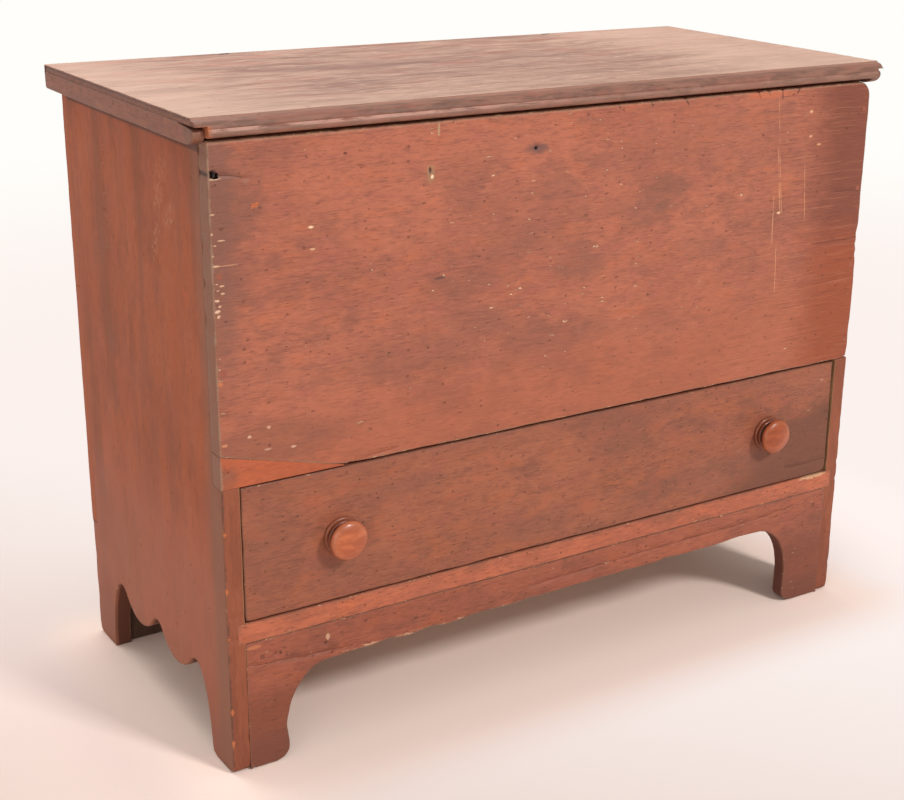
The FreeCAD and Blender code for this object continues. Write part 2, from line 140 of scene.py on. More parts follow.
def wander(u, w, size, seed):
    """Random heights from -1 to 1 on a square lattice of this size, joined by smooth steps."""
    lattice = np.random.default_rng(seed).uniform(-1, 1, (LATTICE, LATTICE))
    a = np.asarray(u, float) / size
    b = np.asarray(w, float) / size
    i = np.floor(a).astype(int)
    j = np.floor(b).astype(int)
    s = ease(a - i)
    t = ease(b - j)

    def row(j):
        return lattice[i % LATTICE, j % LATTICE] * (1 - s) + lattice[(i + 1) % LATTICE, j % LATTICE] * s

    return row(j) * (1 - t) + row(j + 1) * t


# ---- Outlines ---------------------------------------------------------------

SHARP_TURN = 0.35


def stretch(a, b, step=3):
    """Points from a up to but without b, evenly spaced on the straight line."""
    a = np.array(a, float)
    b = np.array(b, float)
    count = max(1, int(np.linalg.norm(b - a) / step))
    return a + (b - a) * (np.arange(count) / count)[:, None]


def path(*corners, step=3):
    """Points on the straight lines from corner to corner, the last corner left out."""
    return np.concatenate([stretch(a, b, step) for a, b in zip(corners, corners[1:])])


def rectangle(u0, u1, w0, w1, step):
    """Points round a rectangle, from its lowest corner and back to it."""
    return path((u0, w0), (u1, w0), (u1, w1), (u0, w1), (u0, w0), step=step)


def bow(centre, radii, start, end, step=2.5):
    """Points of an ellipse between two angles in degrees, the last one left out."""
    sweep = math.radians(end - start)
    count = max(4, int(abs(sweep) * max(radii) / step))
    angle = math.radians(start) + sweep * np.arange(count) / count
    return np.stack([centre[0] + radii[0] * np.cos(angle), centre[1] + radii[1] * np.sin(angle)], 1)


def outward(loop, reach=8):
    """Directions in which an outline's points move when it grows. A corner moves along its
    mitre, and the points within reach of it lean towards it, so that none overtakes another."""
    ahead = np.roll(loop, -1, 0) - loop
    length = np.linalg.norm(ahead, axis=1)
    ahead = ahead / length[:, None]
    behind = np.roll(ahead, 1, 0)
    turn = np.arctan2(behind[:, 0] * ahead[:, 1] - behind[:, 1] * ahead[:, 0], (behind * ahead).sum(1))
    middle = ahead + behind
    middle /= np.linalg.norm(middle, axis=1)[:, None]
    grown = np.stack([middle[:, 1], -middle[:, 0]], 1) / np.cos(turn / 2)[:, None]
    along = np.concatenate([[0], np.cumsum(length)])
    for corner in np.where(abs(turn) > SHARP_TURN)[0]:
        away = (along[:-1] - along[corner] + along[-1] / 2) % along[-1] - along[-1] / 2
        lean = np.tan(turn[corner] / 2) * np.clip(1 - abs(away) / reach, 0, 1) * -np.sign(away)
        grown += ahead * lean[:, None]
    return grown


def inside(points, loop):
    """True for the points that an odd number of the outline's edges pass to the right of."""
    x, y = points[:, :1], points[:, 1:]
    ax, ay = loop.T[:, None]
    bx, by = np.roll(loop, -1, 0).T[:, None]
    spans = (ay > y) != (by > y)
    rise = np.where(by == ay, 1e-9, by - ay)
    hits = spans & (x < (bx - ax) * (y - ay) / rise + ax)
    return hits.sum(1) % 2 == 1


def nearest(points, loop):
    """Distance from each point to the nearest of the outline's points."""
    parts = np.array_split(points, 40)
    return np.concatenate([np.sqrt(((part[:, None] - loop[None]) ** 2).sum(2)).min(1) for part in parts])


def eased(seams, tight, open_value):
    """A function of u and w: tight where the outline meets another board, else the open value."""
    return lambda u, w: np.where(seams(u, w), tight, open_value)


# ---- Meshes -----------------------------------------------------------------

PLACE = {
    "front": lambda u, w, d: (u, d, w),
    "side": lambda u, w, d: (d, u, w),
}


def make_piece(name, points, faces, body, finish, node, edge=None):
    """A closed mesh in the node's stead, from points in millimetres, its faces turned outward."""
    points = np.asarray(points, float)
    fan = np.array([(f[0], f[i], f[i + 1]) for f in faces for i in range(1, len(f) - 1)])
    centred = points - points.mean(0)
    volume = np.einsum("ij,ij->i", centred[fan[:, 0]], np.cross(centred[fan[:, 1]], centred[fan[:, 2]])).sum()
    if volume < 0:
        faces = [tuple(reversed(f)) for f in faces]
    mesh = bpy.data.meshes.new(name)
    mesh.from_pydata((points * METRE).tolist(), [], faces)
    if edge is not None:
        store = mesh.attributes.new("edge", "FLOAT", "POINT")
        store.data.foreach_set("value", np.asarray(edge, np.float32))
    mesh.shade_smooth()
    mesh.update()
    piece = bpy.data.objects.new(name, mesh)
    bpy.context.scene.collection.objects.link(piece)
    mesh.materials.append(finish)
    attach(piece, body)
    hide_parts(node)


def tube(rows, count):
    """Quads between neighbouring rows of points, each row a closed ring of this many."""
    i, j = np.meshgrid(np.arange(rows - 1), np.arange(count), indexing="ij")
    k = (j + 1) % count
    quads = np.stack([i * count + j, i * count + k, (i + 1) * count + k, (i + 1) * count + j], 2)
    return quads.reshape(-1, 4).tolist()


def crack_points(crack):
    """A V-shaped groove: three rows of points along a wandering line, the middle one deep."""
    (u0, w0), (u1, w1), width, depth, seed = crack
    t = np.linspace(0, 1, max(4, int(math.hypot(u1 - u0, w1 - w0) / 4)))
    u = u0 + (u1 - u0) * t
    w = w0 + (w1 - w0) * t + 1.2 * wander(u, 0 * u, 23, seed)
    taper = np.sqrt(np.clip(np.minimum(t, 1 - t) * 6, 0.05, 1))
    taper = taper * (0.75 + 0.25 * wander(u, 0 * u, 11, seed + 1))
    rows = [np.stack([u, w + k * width * taper / 2], 1) for k in (-1, 0, 1)]
    return np.concatenate(rows), np.concatenate([0 * t, depth * taper, 0 * t])


def pit_points(pit):
    """A hole with a flat floor: a rim, a smaller ring at the bottom, and its centre."""
    centre, radius, depth, sides = pit
    angle = np.arange(sides) * 2 * math.pi / sides + 0.4
    ring = np.stack([np.cos(angle), np.sin(angle)], 1)
    centre = np.array([centre])
    points = np.concatenate([centre + ring * radius, centre + ring * radius * 0.72, centre])
    return points, np.concatenate([np.zeros(sides), np.full(sides + 1, depth)])


def triangulated(points, borders):
    """Triangles inside the closed border through all the points, which stay as they are."""
    made = delaunay_2d_cdt([Vector(p) for p in points.tolist()], borders, [], 1, 1e-6)
    if len(made[0]) != len(points):
        raise ValueError("the outline crosses itself: %d points from %d" % (len(made[0]), len(points)))
    return np.array([tuple(p) for p in made[0]]), [tuple(f) for f in made[2]], [o[0] for o in made[3]]


def board_rings(loop, normal, radius, back_arris, thick):
    """The outline's copies from the show face round both arrises to the hidden face: where each
    lies in its plane, how far behind the show face, and how far from the show face's arris."""
    none = 0 * radius
    rings = []
    for angle in np.radians([0, 15, 30, 50, 70, 90]):
        plane = loop - normal * (radius * (1 - np.sin(angle)))[:, None]
        rings.append((plane, radius * (1 - np.cos(angle)), none))
    for share in (0.25, 0.5, 0.75):
        level = radius + share * (thick - radius - back_arris)
        rings.append((loop, level, radius + min(share, 1 - share) * thick))
    for angle in np.radians([90, 50, 0]):
        plane = loop - normal * back_arris * (1 - np.sin(angle))
        rings.append((plane, none + thick - back_arris * (1 - np.cos(angle)), none))
    return rings


def face_points(loop, rim, pitch, details, seed):
    """A jittered lattice inside the rim, and the details' own points, with the depth of each."""
    columns, rows = (np.arange(side.min() + pitch / 2, side.max(), pitch) for side in loop.T)
    grid = np.stack(np.meshgrid(columns, rows, indexing="ij"), 2).reshape(-1, 2)
    grid = grid + 0.2 * pitch * np.stack([wander(*grid.T, 3.1, seed), wander(*grid.T, 3.1, seed + 1)], 1)
    grid = grid[inside(grid, rim)]
    grid = grid[nearest(grid, rim) > 0.5 * pitch]
    if not details:
        return grid, np.zeros(len(grid))
    detail = np.concatenate([d[0] for d in details])
    deep = np.concatenate([d[1] for d in details])
    keep = inside(detail, rim) & (nearest(detail, rim) > 0.4)
    detail, deep = detail[keep], deep[keep]
    grid = grid[nearest(grid, detail) > 0.4 * pitch]
    return np.concatenate([grid, detail]), np.concatenate([np.zeros(len(grid)), deep])


def plank(name, outline, depth, place, body, finish, node, pitch=9, arris=1.6, rub=0.5,
          bites=(), cracks=(), pits=(), warp=0.25, seed=1, back_arris=0.5):
    """A board. Its outline is rubbed back by noise and bites, a round arris is carried
    round it, and its show face is a lattice of points, sunk by noise, cracks and pits."""
    loop = np.asarray(outline, float)
    x, y = loop.T
    if (x * np.roll(y, -1) - np.roll(x, -1) * y).sum() < 0:
        loop = loop[::-1]
    normal = outward(loop)
    u, w = loop.T
    loss = rub(u, w) if callable(rub) else rub
    rubbed = loss * (0.7 + 0.5 * wander(u, w, 17, seed) + 0.2 * wander(u, w, 5, seed + 1))
    for (bu, bw), reach, sink in bites:
        rubbed += sink * np.exp(-((u - bu) ** 2 + (w - bw) ** 2) / reach ** 2)
    loop = loop - normal * rubbed[:, None]
    size = arris(u, w) if callable(arris) else arris
    radius = size * (1 + 0.45 * wander(u, w, 31, seed + 2) + 0.2 * wander(u, w, 9, seed + 3))
    radius = np.minimum(radius, 0.45 * abs(depth[1] - depth[0]))

    show, hidden = depth
    inward = 1 if hidden > show else -1
    rings = board_rings(loop, normal, radius, back_arris, abs(hidden - show))
    rim = rings[0][0]
    details = [crack_points(c) for c in cracks] + [pit_points(p) for p in pits]
    grid, sunk = face_points(loop, rim, pitch, details, seed + 4)
    count = len(loop)
    borders = [(i, (i + 1) % count) for i in range(count)]
    flat, show_faces, source = triangulated(np.concatenate([rim, grid]), borders)
    back_faces = triangulated(loop, borders)[1]

    margin = nearest(flat, loop)
    sinking = warp * (0.5 + 0.5 * wander(*flat.T, 120, seed + 6))
    sinking = np.clip(sinking + 0.25 * warp * wander(*flat.T, 31, seed + 7), 0, None)
    sinking = sinking * np.clip((margin - 2) / 12, 0, 1)
    dug = np.concatenate([np.zeros(count), sunk])[source]

    points = [np.stack(PLACE[place](*flat.T, show + inward * (sinking + dug)), 1)]
    edge = [margin]
    rows_of = [np.array([source.index(i) for i in range(count)])]
    total = len(flat)
    for plane, level, away in rings[1:]:
        points.append(np.stack(PLACE[place](*plane.T, show + inward * level), 1))
        edge.append(away)
        rows_of.append(total + np.arange(count))
        total += count
    faces = list(show_faces)
    for above, below in zip(rows_of, rows_of[1:]):
        faces += np.stack([np.roll(above, -1), above, below, np.roll(below, -1)], 1).tolist()
    faces += [tuple(rows_of[-1][list(reversed(f))].tolist()) for f in back_faces]
    make_piece(name, np.concatenate(points), faces, body, finish, node, np.concatenate(edge))


# ---- Shader writing ---------------------------------------------------------

def tinted(tone, *shares):
    """A screen colour of 0 to 255 with its channels scaled."""
    return tuple(min(255, part * share) for part, share in zip(tone, shares))


def linear(colour):
    """A screen colour of 0 to 255 as Blender's linear colour; a shader value stays as it is."""
    if isinstance(colour, Value):
        return colour
    parts = [c / 255 / 12.92 if c <= 10 else ((c / 255 + 0.055) / 1.055) ** 2.4 for c in colour]
    return (*parts, 1)


class Value:
    """A shader socket on which arithmetic adds Math nodes."""

    def __init__(self, finish, socket):
        self.finish = finish
        self.socket = socket

    def math(self, operation, *values):
        return self.finish.node("Math", dict(enumerate(values)), operation=operation)

    def __add__(self, other):
        return self.math("ADD", self, other)

    def __sub__(self, other):
        return self.math("SUBTRACT", self, other)

    def __rsub__(self, other):
        return self.math("SUBTRACT", other, self)

    def __mul__(self, other):
        return self.math("MULTIPLY", self, other)

    def __truediv__(self, other):
        return self.math("DIVIDE", self, other)

    def __pow__(self, other):
        return self.math("POWER", self, other)

    def __abs__(self):
        return self.math("ABSOLUTE", self)

    def least(self, other):
        return self.math("MINIMUM", self, other)

    def most(self, other):
        return self.math("MAXIMUM", self, other)

    __radd__ = __add__
    __rmul__ = __mul__


SHEAR_ALONG = 0.6
SHEAR_ACROSS = 0.5


class Finish:
    """A material: the nodes that it is written with, the colour that its layers cover one after
    the other, and the height of its relief. Grain names the axes along the grain, across it and
    through the board; u and w are the face's two, and seed moves each noise to its own place."""

    def __init__(self, name, grain="xzy", seed=0):
        self.material = bpy.data.materials.new(name)
        self.material.use_nodes = True
        self.tree = self.material.node_tree
        self.shader = self.tree.nodes["Principled BSDF"]
        self.seed = seed
        place = self.vector("MULTIPLY", self.node("TexCoord", output="Object"), (1000, 1000, 1000))
        self.x, self.y, self.z = (self.node("SeparateXYZ", {0: place}, i) for i in range(3))
        along, across, through = (getattr(self, axis) for axis in grain)
        self.u, self.w = (getattr(self, axis) for axis in sorted(grain[:2]))
        self.grain = self.node("CombineXYZ", {0: along, 1: across, 2: through})
        self.flat = self.node("CombineXYZ", {
            0: along + through * SHEAR_ALONG, 1: across + through * SHEAR_ACROSS, 2: 0})
        self.colour = None
        self.height = None

    def node(self, kind, values=(), output=0, **settings):
        """A shader node of this kind; values feed its sockets, settings are its properties."""
        made = self.tree.nodes.new("ShaderNode" + kind)
        for key, value in settings.items():
            setattr(made, key, value)
        for key, value in dict(values).items():
            socket = made.inputs[key]
            if isinstance(value, Value):
                self.tree.links.new(value.socket, socket)
            else:
                socket.default_value = value
        return Value(self, made.outputs[output])

    def vector(self, operation, vector, other):
        return self.node("VectorMath", {0: vector, 1: other}, operation=operation)

    def edge(self):
        """Distance from the nearest arris, which the mesh carries."""
        return self.node("Attribute", output="Fac", attribute_name="edge")

    def moved(self):
        """A new place in the noise for each use."""
        self.seed += 7.3
        return (self.seed, 1.7 * self.seed, 0.6 * self.seed)

    def noise(self, size, detail=3, rough=0.55, long=1, bend=None):
        """Noise with blobs of about this many millimetres, long times longer along the grain.
        Bend is a value that pushes it across the grain, in millimetres."""
        grain = self.grain
        if bend is not None:
            grain = self.vector("ADD", grain, self.node("CombineXYZ", {1: bend}))
        where = self.vector("MULTIPLY", grain, (1 / (size * long), 1 / size, 1 / size))
        where = self.vector("ADD", where, self.moved())
        return self.node("TexNoise", {"Vector": where, "Scale": 1, "Detail": detail, "Roughness": rough})

    def ramp(self, value, start, end):
        """0 below start, 1 above end, a smooth step between; start may lie above end."""
        ends = {"Value": value, "From Min": start, "From Max": end, "To Min": 0, "To Max": 1}
        return self.node("MapRange", ends, interpolation_type="SMOOTHSTEP")

    def blend(self, factor, below, above):
        """The colour below, covered by the colour above where factor is 1."""
        return self.node("Mix", {0: factor, 6: linear(below), 7: linear(above)}, 2, data_type="RGBA")

    def cover(self, factor, tint):
        """A layer of this tint over the colour so far, where factor is 1."""
        self.colour = self.blend(factor, self.colour, tint)

    def specks(self, size, share, radius, long=1):
        """Specks of up to this radius, one in this share of the cells of a grid of this size."""
        where = self.vector("MULTIPLY", self.flat, (1 / (size * long), 1 / size, 1))
        cell = {"Vector": self.vector("ADD", where, self.moved()), "Scale": 1}
        distance = self.node("TexVoronoi", cell, "Distance", voronoi_dimensions="2D")
        dice = self.node("TexVoronoi", cell, "Color", voronoi_dimensions="2D")
        chance = self.node("SeparateColor", {0: dice}, 0)
        bulk = self.node("SeparateColor", {0: dice}, 1)
        ragged = distance * size + (self.noise(0.6 * radius + 0.6, 2, 0.5, 1.6) - 0.5) * (3 * radius)
        near = self.ramp(ragged, radius * (0.3 + 0.6 * bulk), 0) * 2.5
        return near.least(1) * self.ramp(chance, share, share - 0.02)

    def mark(self, centre, half, soft=0.6, rough=0.5, torn=None, lean=0):
        """An ellipse about centre with these half sizes, sheared by lean. Torn is a noise about 0
        that breaks its rim."""
        up = self.w - centre[1]
        away = ((self.u - centre[0] - up * lean) / half[0]) ** 2 + (up / half[1]) ** 2
        if torn is not None:
            away = away + torn * (4 * rough)
        return self.ramp(away, 1 + soft, 1 - soft)

    def smudges(self, marks, tint, rough, torn):
        """Soft marks of one tint; each has a centre, half sizes and a strength."""
        for centre, half, strength in marks:
            self.cover(self.mark(centre, half, 0.95, rough, torn) * strength, tint)

    def spots(self, marks, strength, torn):
        """Crisp marks of one strength; each has a centre, half sizes and a tint."""
        for centre, half, tint in marks:
            self.cover(self.mark(centre, half, 0.5, 0.8, torn) * strength, tint)

    def finish(self, roughness, distance, coat=0, specular=0.3):
        """Feeds the shader; distance is the depth in millimetres that a height of 1 stands for."""
        bump = self.node("Bump", {"Height": self.height, "Distance": distance * METRE})
        inputs = {"Base Color": self.colour, "Roughness": roughness, "Coat Weight": coat,
                  "Specular IOR Level": specular, "Normal": bump}
        for name, value in inputs.items():
            if isinstance(value, Value):
                self.tree.links.new(value.socket, self.shader.inputs[name])
            else:
                self.shader.inputs[name].default_value = value
        return self.material


# ---- Layers -----------------------------------------------------------------

CREAM = (222, 182, 146)
DULL_EDGE = (134, 104, 84)
OLD_PINE = ((112, 80, 54), (150, 112, 78), (176, 136, 98))
# Pine darkened by half: painted shade for the parts deep under the chest.
PINE_DARKENED_AS_SHADE = ((62, 42, 32), (88, 60, 44), (108, 78, 56))
INNER_PINE = ((150, 112, 76), (188, 150, 108), (206, 172, 130))
FRONT_TONE = (165, 97, 74)
SIDE_TONE = (165, 87, 52)
DRAWER_TONE = (150, 88, 64)
SKIRT_TONE = (150, 84, 62)
RAIL_TONE = (175, 98, 70)
PATCH_TONE = (170, 88, 57)
BATTEN_TONE = (143, 86, 63)
SHADED_BROWN = (124, 76, 60)
ARRIS_BROWN = (138, 93, 71)
SMUDGE = (120, 78, 64)
KNOB_TINTS = ((178, 94, 56), (160, 77, 38))


def paint(f, tone, smudge=0.5, contrast=1):
    """Old red paint: drifting tone, brown clouds, blotches of orange and mauve, short dashes
    and pores along the grain."""
    def tint(mask, strength, *shares):
        f.cover(mask * strength, tinted(tone, *shares))

    drift = f.ramp(f.noise(150, 3, 0.55, 1.6), 0.38, 0.62)
    f.colour = f.blend(drift, tinted(tone, 0.96, 0.95, 0.95), tinted(tone, 1.03, 1.03, 1.02))
    blotch = f.noise(24, 5, 0.62, 2)
    tint(f.ramp(blotch, 0.52, 0.66), 0.5 * contrast, 1.07, 1.01, 0.88)
    tint(f.ramp(blotch, 0.48, 0.34), 0.45 * contrast, 0.93, 0.89, 1)
    small = f.noise(6, 4, 0.66, 2.4)
    tint(f.ramp(small, 0.52, 0.68), 0.5 * contrast, 0.84, 0.84, 0.86)
    tint(f.ramp(small, 0.47, 0.34), 0.35 * contrast, 1.09, 1.10, 1.06)
    tint(f.ramp(f.noise(95, 5, 0.6, 1.6), 0.50, 0.66), smudge, 0.84, 0.86, 0.90)
    tint(f.ramp(f.noise(38, 6, 0.68, 2), 0.50, 0.64), smudge, 0.78, 0.82, 0.86)
    dash = f.ramp(f.noise(2, 3, 0.62, 7), 0.52, 0.66)
    tint(dash, 0.45 * contrast, 0.72, 0.68, 0.70)
    tint(f.ramp(f.noise(1.6, 3, 0.6, 9), 0.54, 0.70), 0.4 * contrast, 1.14, 1.24, 1.22)
    line = f.ramp(f.noise(2.6, 3, 0.6, 34), 0.56, 0.72)
    tint(line, 0.22 * contrast, 0.74, 0.70, 0.72)
    f.height = small * 0.4 - dash * 0.25 - line * 0.35 + f.noise(9, 4, 0.6) * 0.4


def flecks(f, density, amount=0.9, tint=CREAM):
    """Chips in the paint that show pale wood, thicker where density is high."""
    gate = f.ramp(f.noise(46, 4, 0.62) + density, 0.55, 0.70)
    chips = f.specks(19, 0.40, 2.3, 3) * gate
    small = f.specks(8, 0.30, 1.2, 3.4) * f.ramp(f.noise(34, 4, 0.62) + density, 0.52, 0.68)
    chipped = chips.most(small)
    f.cover(f.ramp(chipped, 0.02, 0.30) * 0.45, (118, 78, 60))
    paler = 0.35 + 0.65 * f.ramp(f.noise(11), 0.42, 0.60)
    f.cover(f.ramp(chipped, 0.3, 0.8) * paler * amount, tint)
    f.height = f.height - chipped * 0.8


def pricks(f, size=17, share=0.3):
    """Small dark dents, worm-holes and short dark strokes along the grain."""
    holes = f.specks(size, share, 1.7, 1.5)
    strokes = f.specks(0.7 * size, share, 1.1, 3.6)
    f.cover(holes * 0.5, (88, 50, 38))
    f.cover(strokes * 0.45, (100, 60, 46))
    f.height = f.height - holes * 1.2 - strokes * 0.6


def worn_edges(f, reach, dull=DULL_EDGE, bare=(206, 166, 128), amount=0.7, chips=0.40):
    """Along the arrises the paint is rubbed to a dull brown, here and there to bare wood."""
    edge = f.edge()
    rubbed = f.ramp(edge + (f.noise(16, 5, 0.7) - 0.5) * (3.2 * reach), reach, 0)
    f.cover(rubbed * amount, dull)
    through = f.ramp(edge + (f.noise(5.5, 4, 0.7, 1.5) - chips) * 24, 0.8, -1.2)
    f.cover(through * 0.85, bare)
    f.height = f.height - through * 0.3


def bare_inside(f, inner):
    """Old pine that was never painted, where inner is 1."""
    streaks = f.noise(2.6, 3, 0.6, 26)
    cloud = f.noise(140, 4, 0.6)
    dark, middle, light = OLD_PINE
    pine = f.blend(f.ramp(cloud * 0.5 + streaks * 0.5, 0.38, 0.60), dark, middle)
    f.cover(inner, f.blend(f.ramp(streaks, 0.54, 0.72) * 0.4, pine, light))


def left_arris(f):
    """The board's left end wears the side's brown, and their arris is a thin pale line."""
    crumbs = f.noise(3, 3, 0.66, 1.4) - 0.5
    end_grain = f.ramp(f.x, LEFT + 1.1, LEFT + 0.3)
    f.cover(end_grain, ARRIS_BROWN)
    f.cover(end_grain * f.ramp(f.noise(6, 4, 0.66), 0.5, 0.64) * 0.5, tinted(SIDE_TONE, 0.9, 0.9, 0.9))
    across = abs(f.x - LEFT - 0.7) + abs(f.y - FRONT - 0.7) + crumbs * 5
    line = f.ramp(across, 3.2, 0.6) * f.ramp(f.noise(30, 5, 0.66), 0.40, 0.58)
    f.cover(line * 0.5, (156, 130, 106))


def satin(f, low_end=0.42):
    """A roughness that drifts a little."""
    return low_end + 0.22 * f.noise(50, 4, 0.6, 1.6)


# ---- Finishes ---------------------------------------------------------------

FRONT_SMUDGES = (
    ((LEFT + 24, 688), (36, 46), 0.5), ((LEFT + 22, 620), (30, 56), 0.3), ((4, 566), (36, 24), 0.5),
    ((-70, 600), (66, 18), 0.25), ((136, 640), (32, 22), 0.55), ((110, 618), (36, 14), 0.5),
    ((-40, 662), (44, 12), 0.3), ((-250, 480), (90, 26), 0.2), ((-20, 480), (80, 20), 0.3),
    ((-330, 420), (60, 18), 0.12), ((200, 560), (60, 16), 0.2), ((130, 470), (70, 16), 0.2),
    ((-170, 560), (46, 14), 0.3), ((240, 700), (110, 50), 0.2))
SCRATCHES = (
    ((317, 745), (323, 688), 0.6), ((322, 676), (332, 590), 1), ((325.6, 668), (335.4, 588), 0.8),
    ((319.4, 615), (321.4, 552), 1), ((329.8, 545), (332.6, 480), 0.8), ((371.4, 652), (377.9, 578), 0.8))
FRONT_SPOTS = (
    ((-211.5, 701), (1.6, 4), (60, 44, 34)), ((-208.8, 693), (1.8, 2.4), (232, 208, 170)),
    ((-200, 747), (1.5, 8), (168, 140, 106)), ((-427.4, 685.6), (2.4, 1.5), (190, 98, 50)),
    ((-431.5, 684.2), (1.7, 2.4), (186, 96, 50)), ((-433, 681.6), (1.5, 1), (180, 96, 54)),
    ((-428.2, 682.6), (1.4, 1), (186, 98, 52)), ((-363.5, 652.5), (3, 1.5), (228, 196, 160)),
    ((-362, 627.5), (3.2, 1.2), (206, 160, 124)), ((-320, 730), (2.2, 1.6), (96, 50, 38)),
    ((-198, 573), (7, 2), (98, 66, 56)), ((-478, 489.9), (3, 2.6), (190, 112, 72)),
    ((376, 723), (3, 2), (206, 160, 122)), ((378, 690), (3, 1.4), (206, 156, 116)),
    ((394, 678), (4, 1.4), (200, 150, 112)), ((330, 592), (3, 1.6), (226, 186, 146)),
    ((-475, 716.6), (6, 1.1), (214, 178, 142)), ((-479.6, 679), (3.4, 0.9), (196, 162, 130)),
    ((-480.6, 658), (1.5, 1.3), (206, 172, 138)), ((-470.4, 650), (4.6, 0.9), (206, 166, 132)),
    ((-480.4, 634), (1.6, 1.2), (196, 162, 130)), ((-477.5, 622.7), (4.4, 1.2), (210, 174, 140)),
    ((-464, 622.2), (13, 0.6), (186, 132, 104)), ((-471.3, 600.3), (2.6, 1), (206, 166, 132)),
    ((-470.5, 592), (2, 1.2), (206, 166, 132)), ((-477.4, 584.6), (2.8, 1.3), (214, 180, 146)),
    ((-474.8, 578), (1.6, 1.2), (206, 172, 138)), ((-477.6, 572.7), (3, 1.9), (218, 186, 152)),
    ((-476.4, 566.6), (1.8, 1.8), (210, 174, 140)), ((-422, 430), (2.4, 1.8), (200, 152, 122)),
    ((-446, 423), (2.6, 1.8), (204, 160, 132)), ((-392, 401), (3.2, 1.5), (204, 160, 132)),
    ((-424, 404), (4.2, 1.3), (186, 140, 116)), ((-476, 418), (3.6, 1.6), (196, 130, 92)))
NICKS = (
    (281, 9, -0.5), (298, 7, -0.6), (322, 11, -0.1), (352, 7, 0.7),
    (160, 8, -0.7), (105, 6, -0.6), (54, 5, -0.8), (-180, 4, 0.4))


def scratches(f):
    """Thin broken scratches down the front board, from start to end with a width."""
    wobble = (f.noise(60) - 0.5) * 5
    broken = f.noise(22, 4, 0.7)
    scratched = 0
    for start, end, width in SCRATCHES:
        lean = (end[0] - start[0]) / (end[1] - start[1])
        away = abs(f.x - start[0] - (f.z - start[1]) * lean + wobble * 0.25)
        line = f.ramp(away, width, 0.2 * width) * f.ramp(f.z, end[1] - 10, end[1] + 10)
        line = line * f.ramp(f.z, start[1] + 10, start[1] - 10) * f.ramp(broken, 0.36, 0.50)
        scratched = line.most(scratched)
    f.cover(scratched * 0.8, (206, 148, 108))


def front_board_finish():
    """Browner at the left end and the lower right, chipped, scratched and stained."""
    f = Finish("front_board_paint", "xzy", 2)
    paint(f, FRONT_TONE)
    torn = f.noise(18, 5, 0.65, 1.6) - 0.5
    crumbs = f.noise(2.4, 3, 0.7, 1.4) - 0.5
    f.cover(f.ramp(f.z + torn * 90 - f.x * 0.1, 540, 390) * 0.5, tinted(FRONT_TONE, 0.97, 0.91, 0.82))
    low_end = f.blend(f.ramp(f.z + torn * 90, 590, 520), (114, 60, 44), (140, 67, 38))
    f.cover(f.ramp(f.x + torn * 60, 345, 435) * 0.85, low_end)
    left_end = f.ramp(f.x + torn * 34, LEFT + 40, LEFT + 12)
    f.cover(left_end * f.ramp(f.z, 470, 560) * 0.6, (116, 80, 68))
    f.cover(f.mark((LEFT + 50, PATCH_TOP + 6), (90, 26), 0.9, 0.9, torn) * 0.4, (116, 76, 60))
    f.smudges(FRONT_SMUDGES, SMUDGE, 1.1, torn)
    busy = f.mark((10, 600), (210, 150), 0.9)
    left_edge = f.mark((LEFT + 8, 580), (12, 120), 0.7)
    flecks(f, busy * 0.16 + left_edge * 0.24 - 0.01)
    pricks(f)
    scratches(f)
    right_half = f.ramp(f.x + torn * 90, 180, 400)
    hair = f.ramp(f.noise(1.5, 2, 0.6, 60), 0.60, 0.68) * (0.05 + 0.28 * right_half)
    f.cover(hair, (188, 126, 94))
    groove = f.ramp(f.noise(1.5, 2, 0.6, 50), 0.58, 0.68) * (0.15 + 0.4 * right_half)
    f.cover(groove, (96, 52, 40))
    f.cover(f.mark(SPENT_NAIL, (15, 7), 0.9, 0.9, torn) * 0.75, (96, 70, 66))
    f.cover(f.mark(SPENT_NAIL, (2.4, 2.4), 0.4), (44, 32, 30))
    f.cover(f.mark((-210.5, 697), (5.5, 10.5), 0.7, 0.9, crumbs) * 0.6, (150, 118, 84))
    f.spots(FRONT_SPOTS, 0.85, crumbs)
    for nick_x, length, lean in NICKS:
        nick = f.mark((nick_x, FRONT_TOP - length / 3), (1.3, length), 0.4, lean=lean)
        f.cover(nick * 0.85, (58, 34, 28))
    f.cover(f.mark((300, FRONT_TOP - 4), (34, 7), 0.8, 0.8, torn) * 0.5, (196, 106, 68))
    top_rim = f.ramp(f.z + crumbs * 5, FRONT_TOP - 5, FRONT_TOP - 2.6) * f.ramp(torn, -0.18, 0)
    f.cover(top_rim * 0.6, (182, 134, 108))
    hole = f.mark((FRONT_NAIL[0] + 0.6, FRONT_NAIL[1] + 0.6), (6.6, 4.6), 0.5, 0.8, crumbs, -0.3)
    f.cover(hole * 0.9, (44, 28, 24))
    worn_edges(f, 2.6)
    left_arris(f)
    bare_inside(f, f.ramp(f.y, FRONT + BOARD - 1.2, FRONT + BOARD - 0.2))
    return f.finish(satin(f), 0.5)


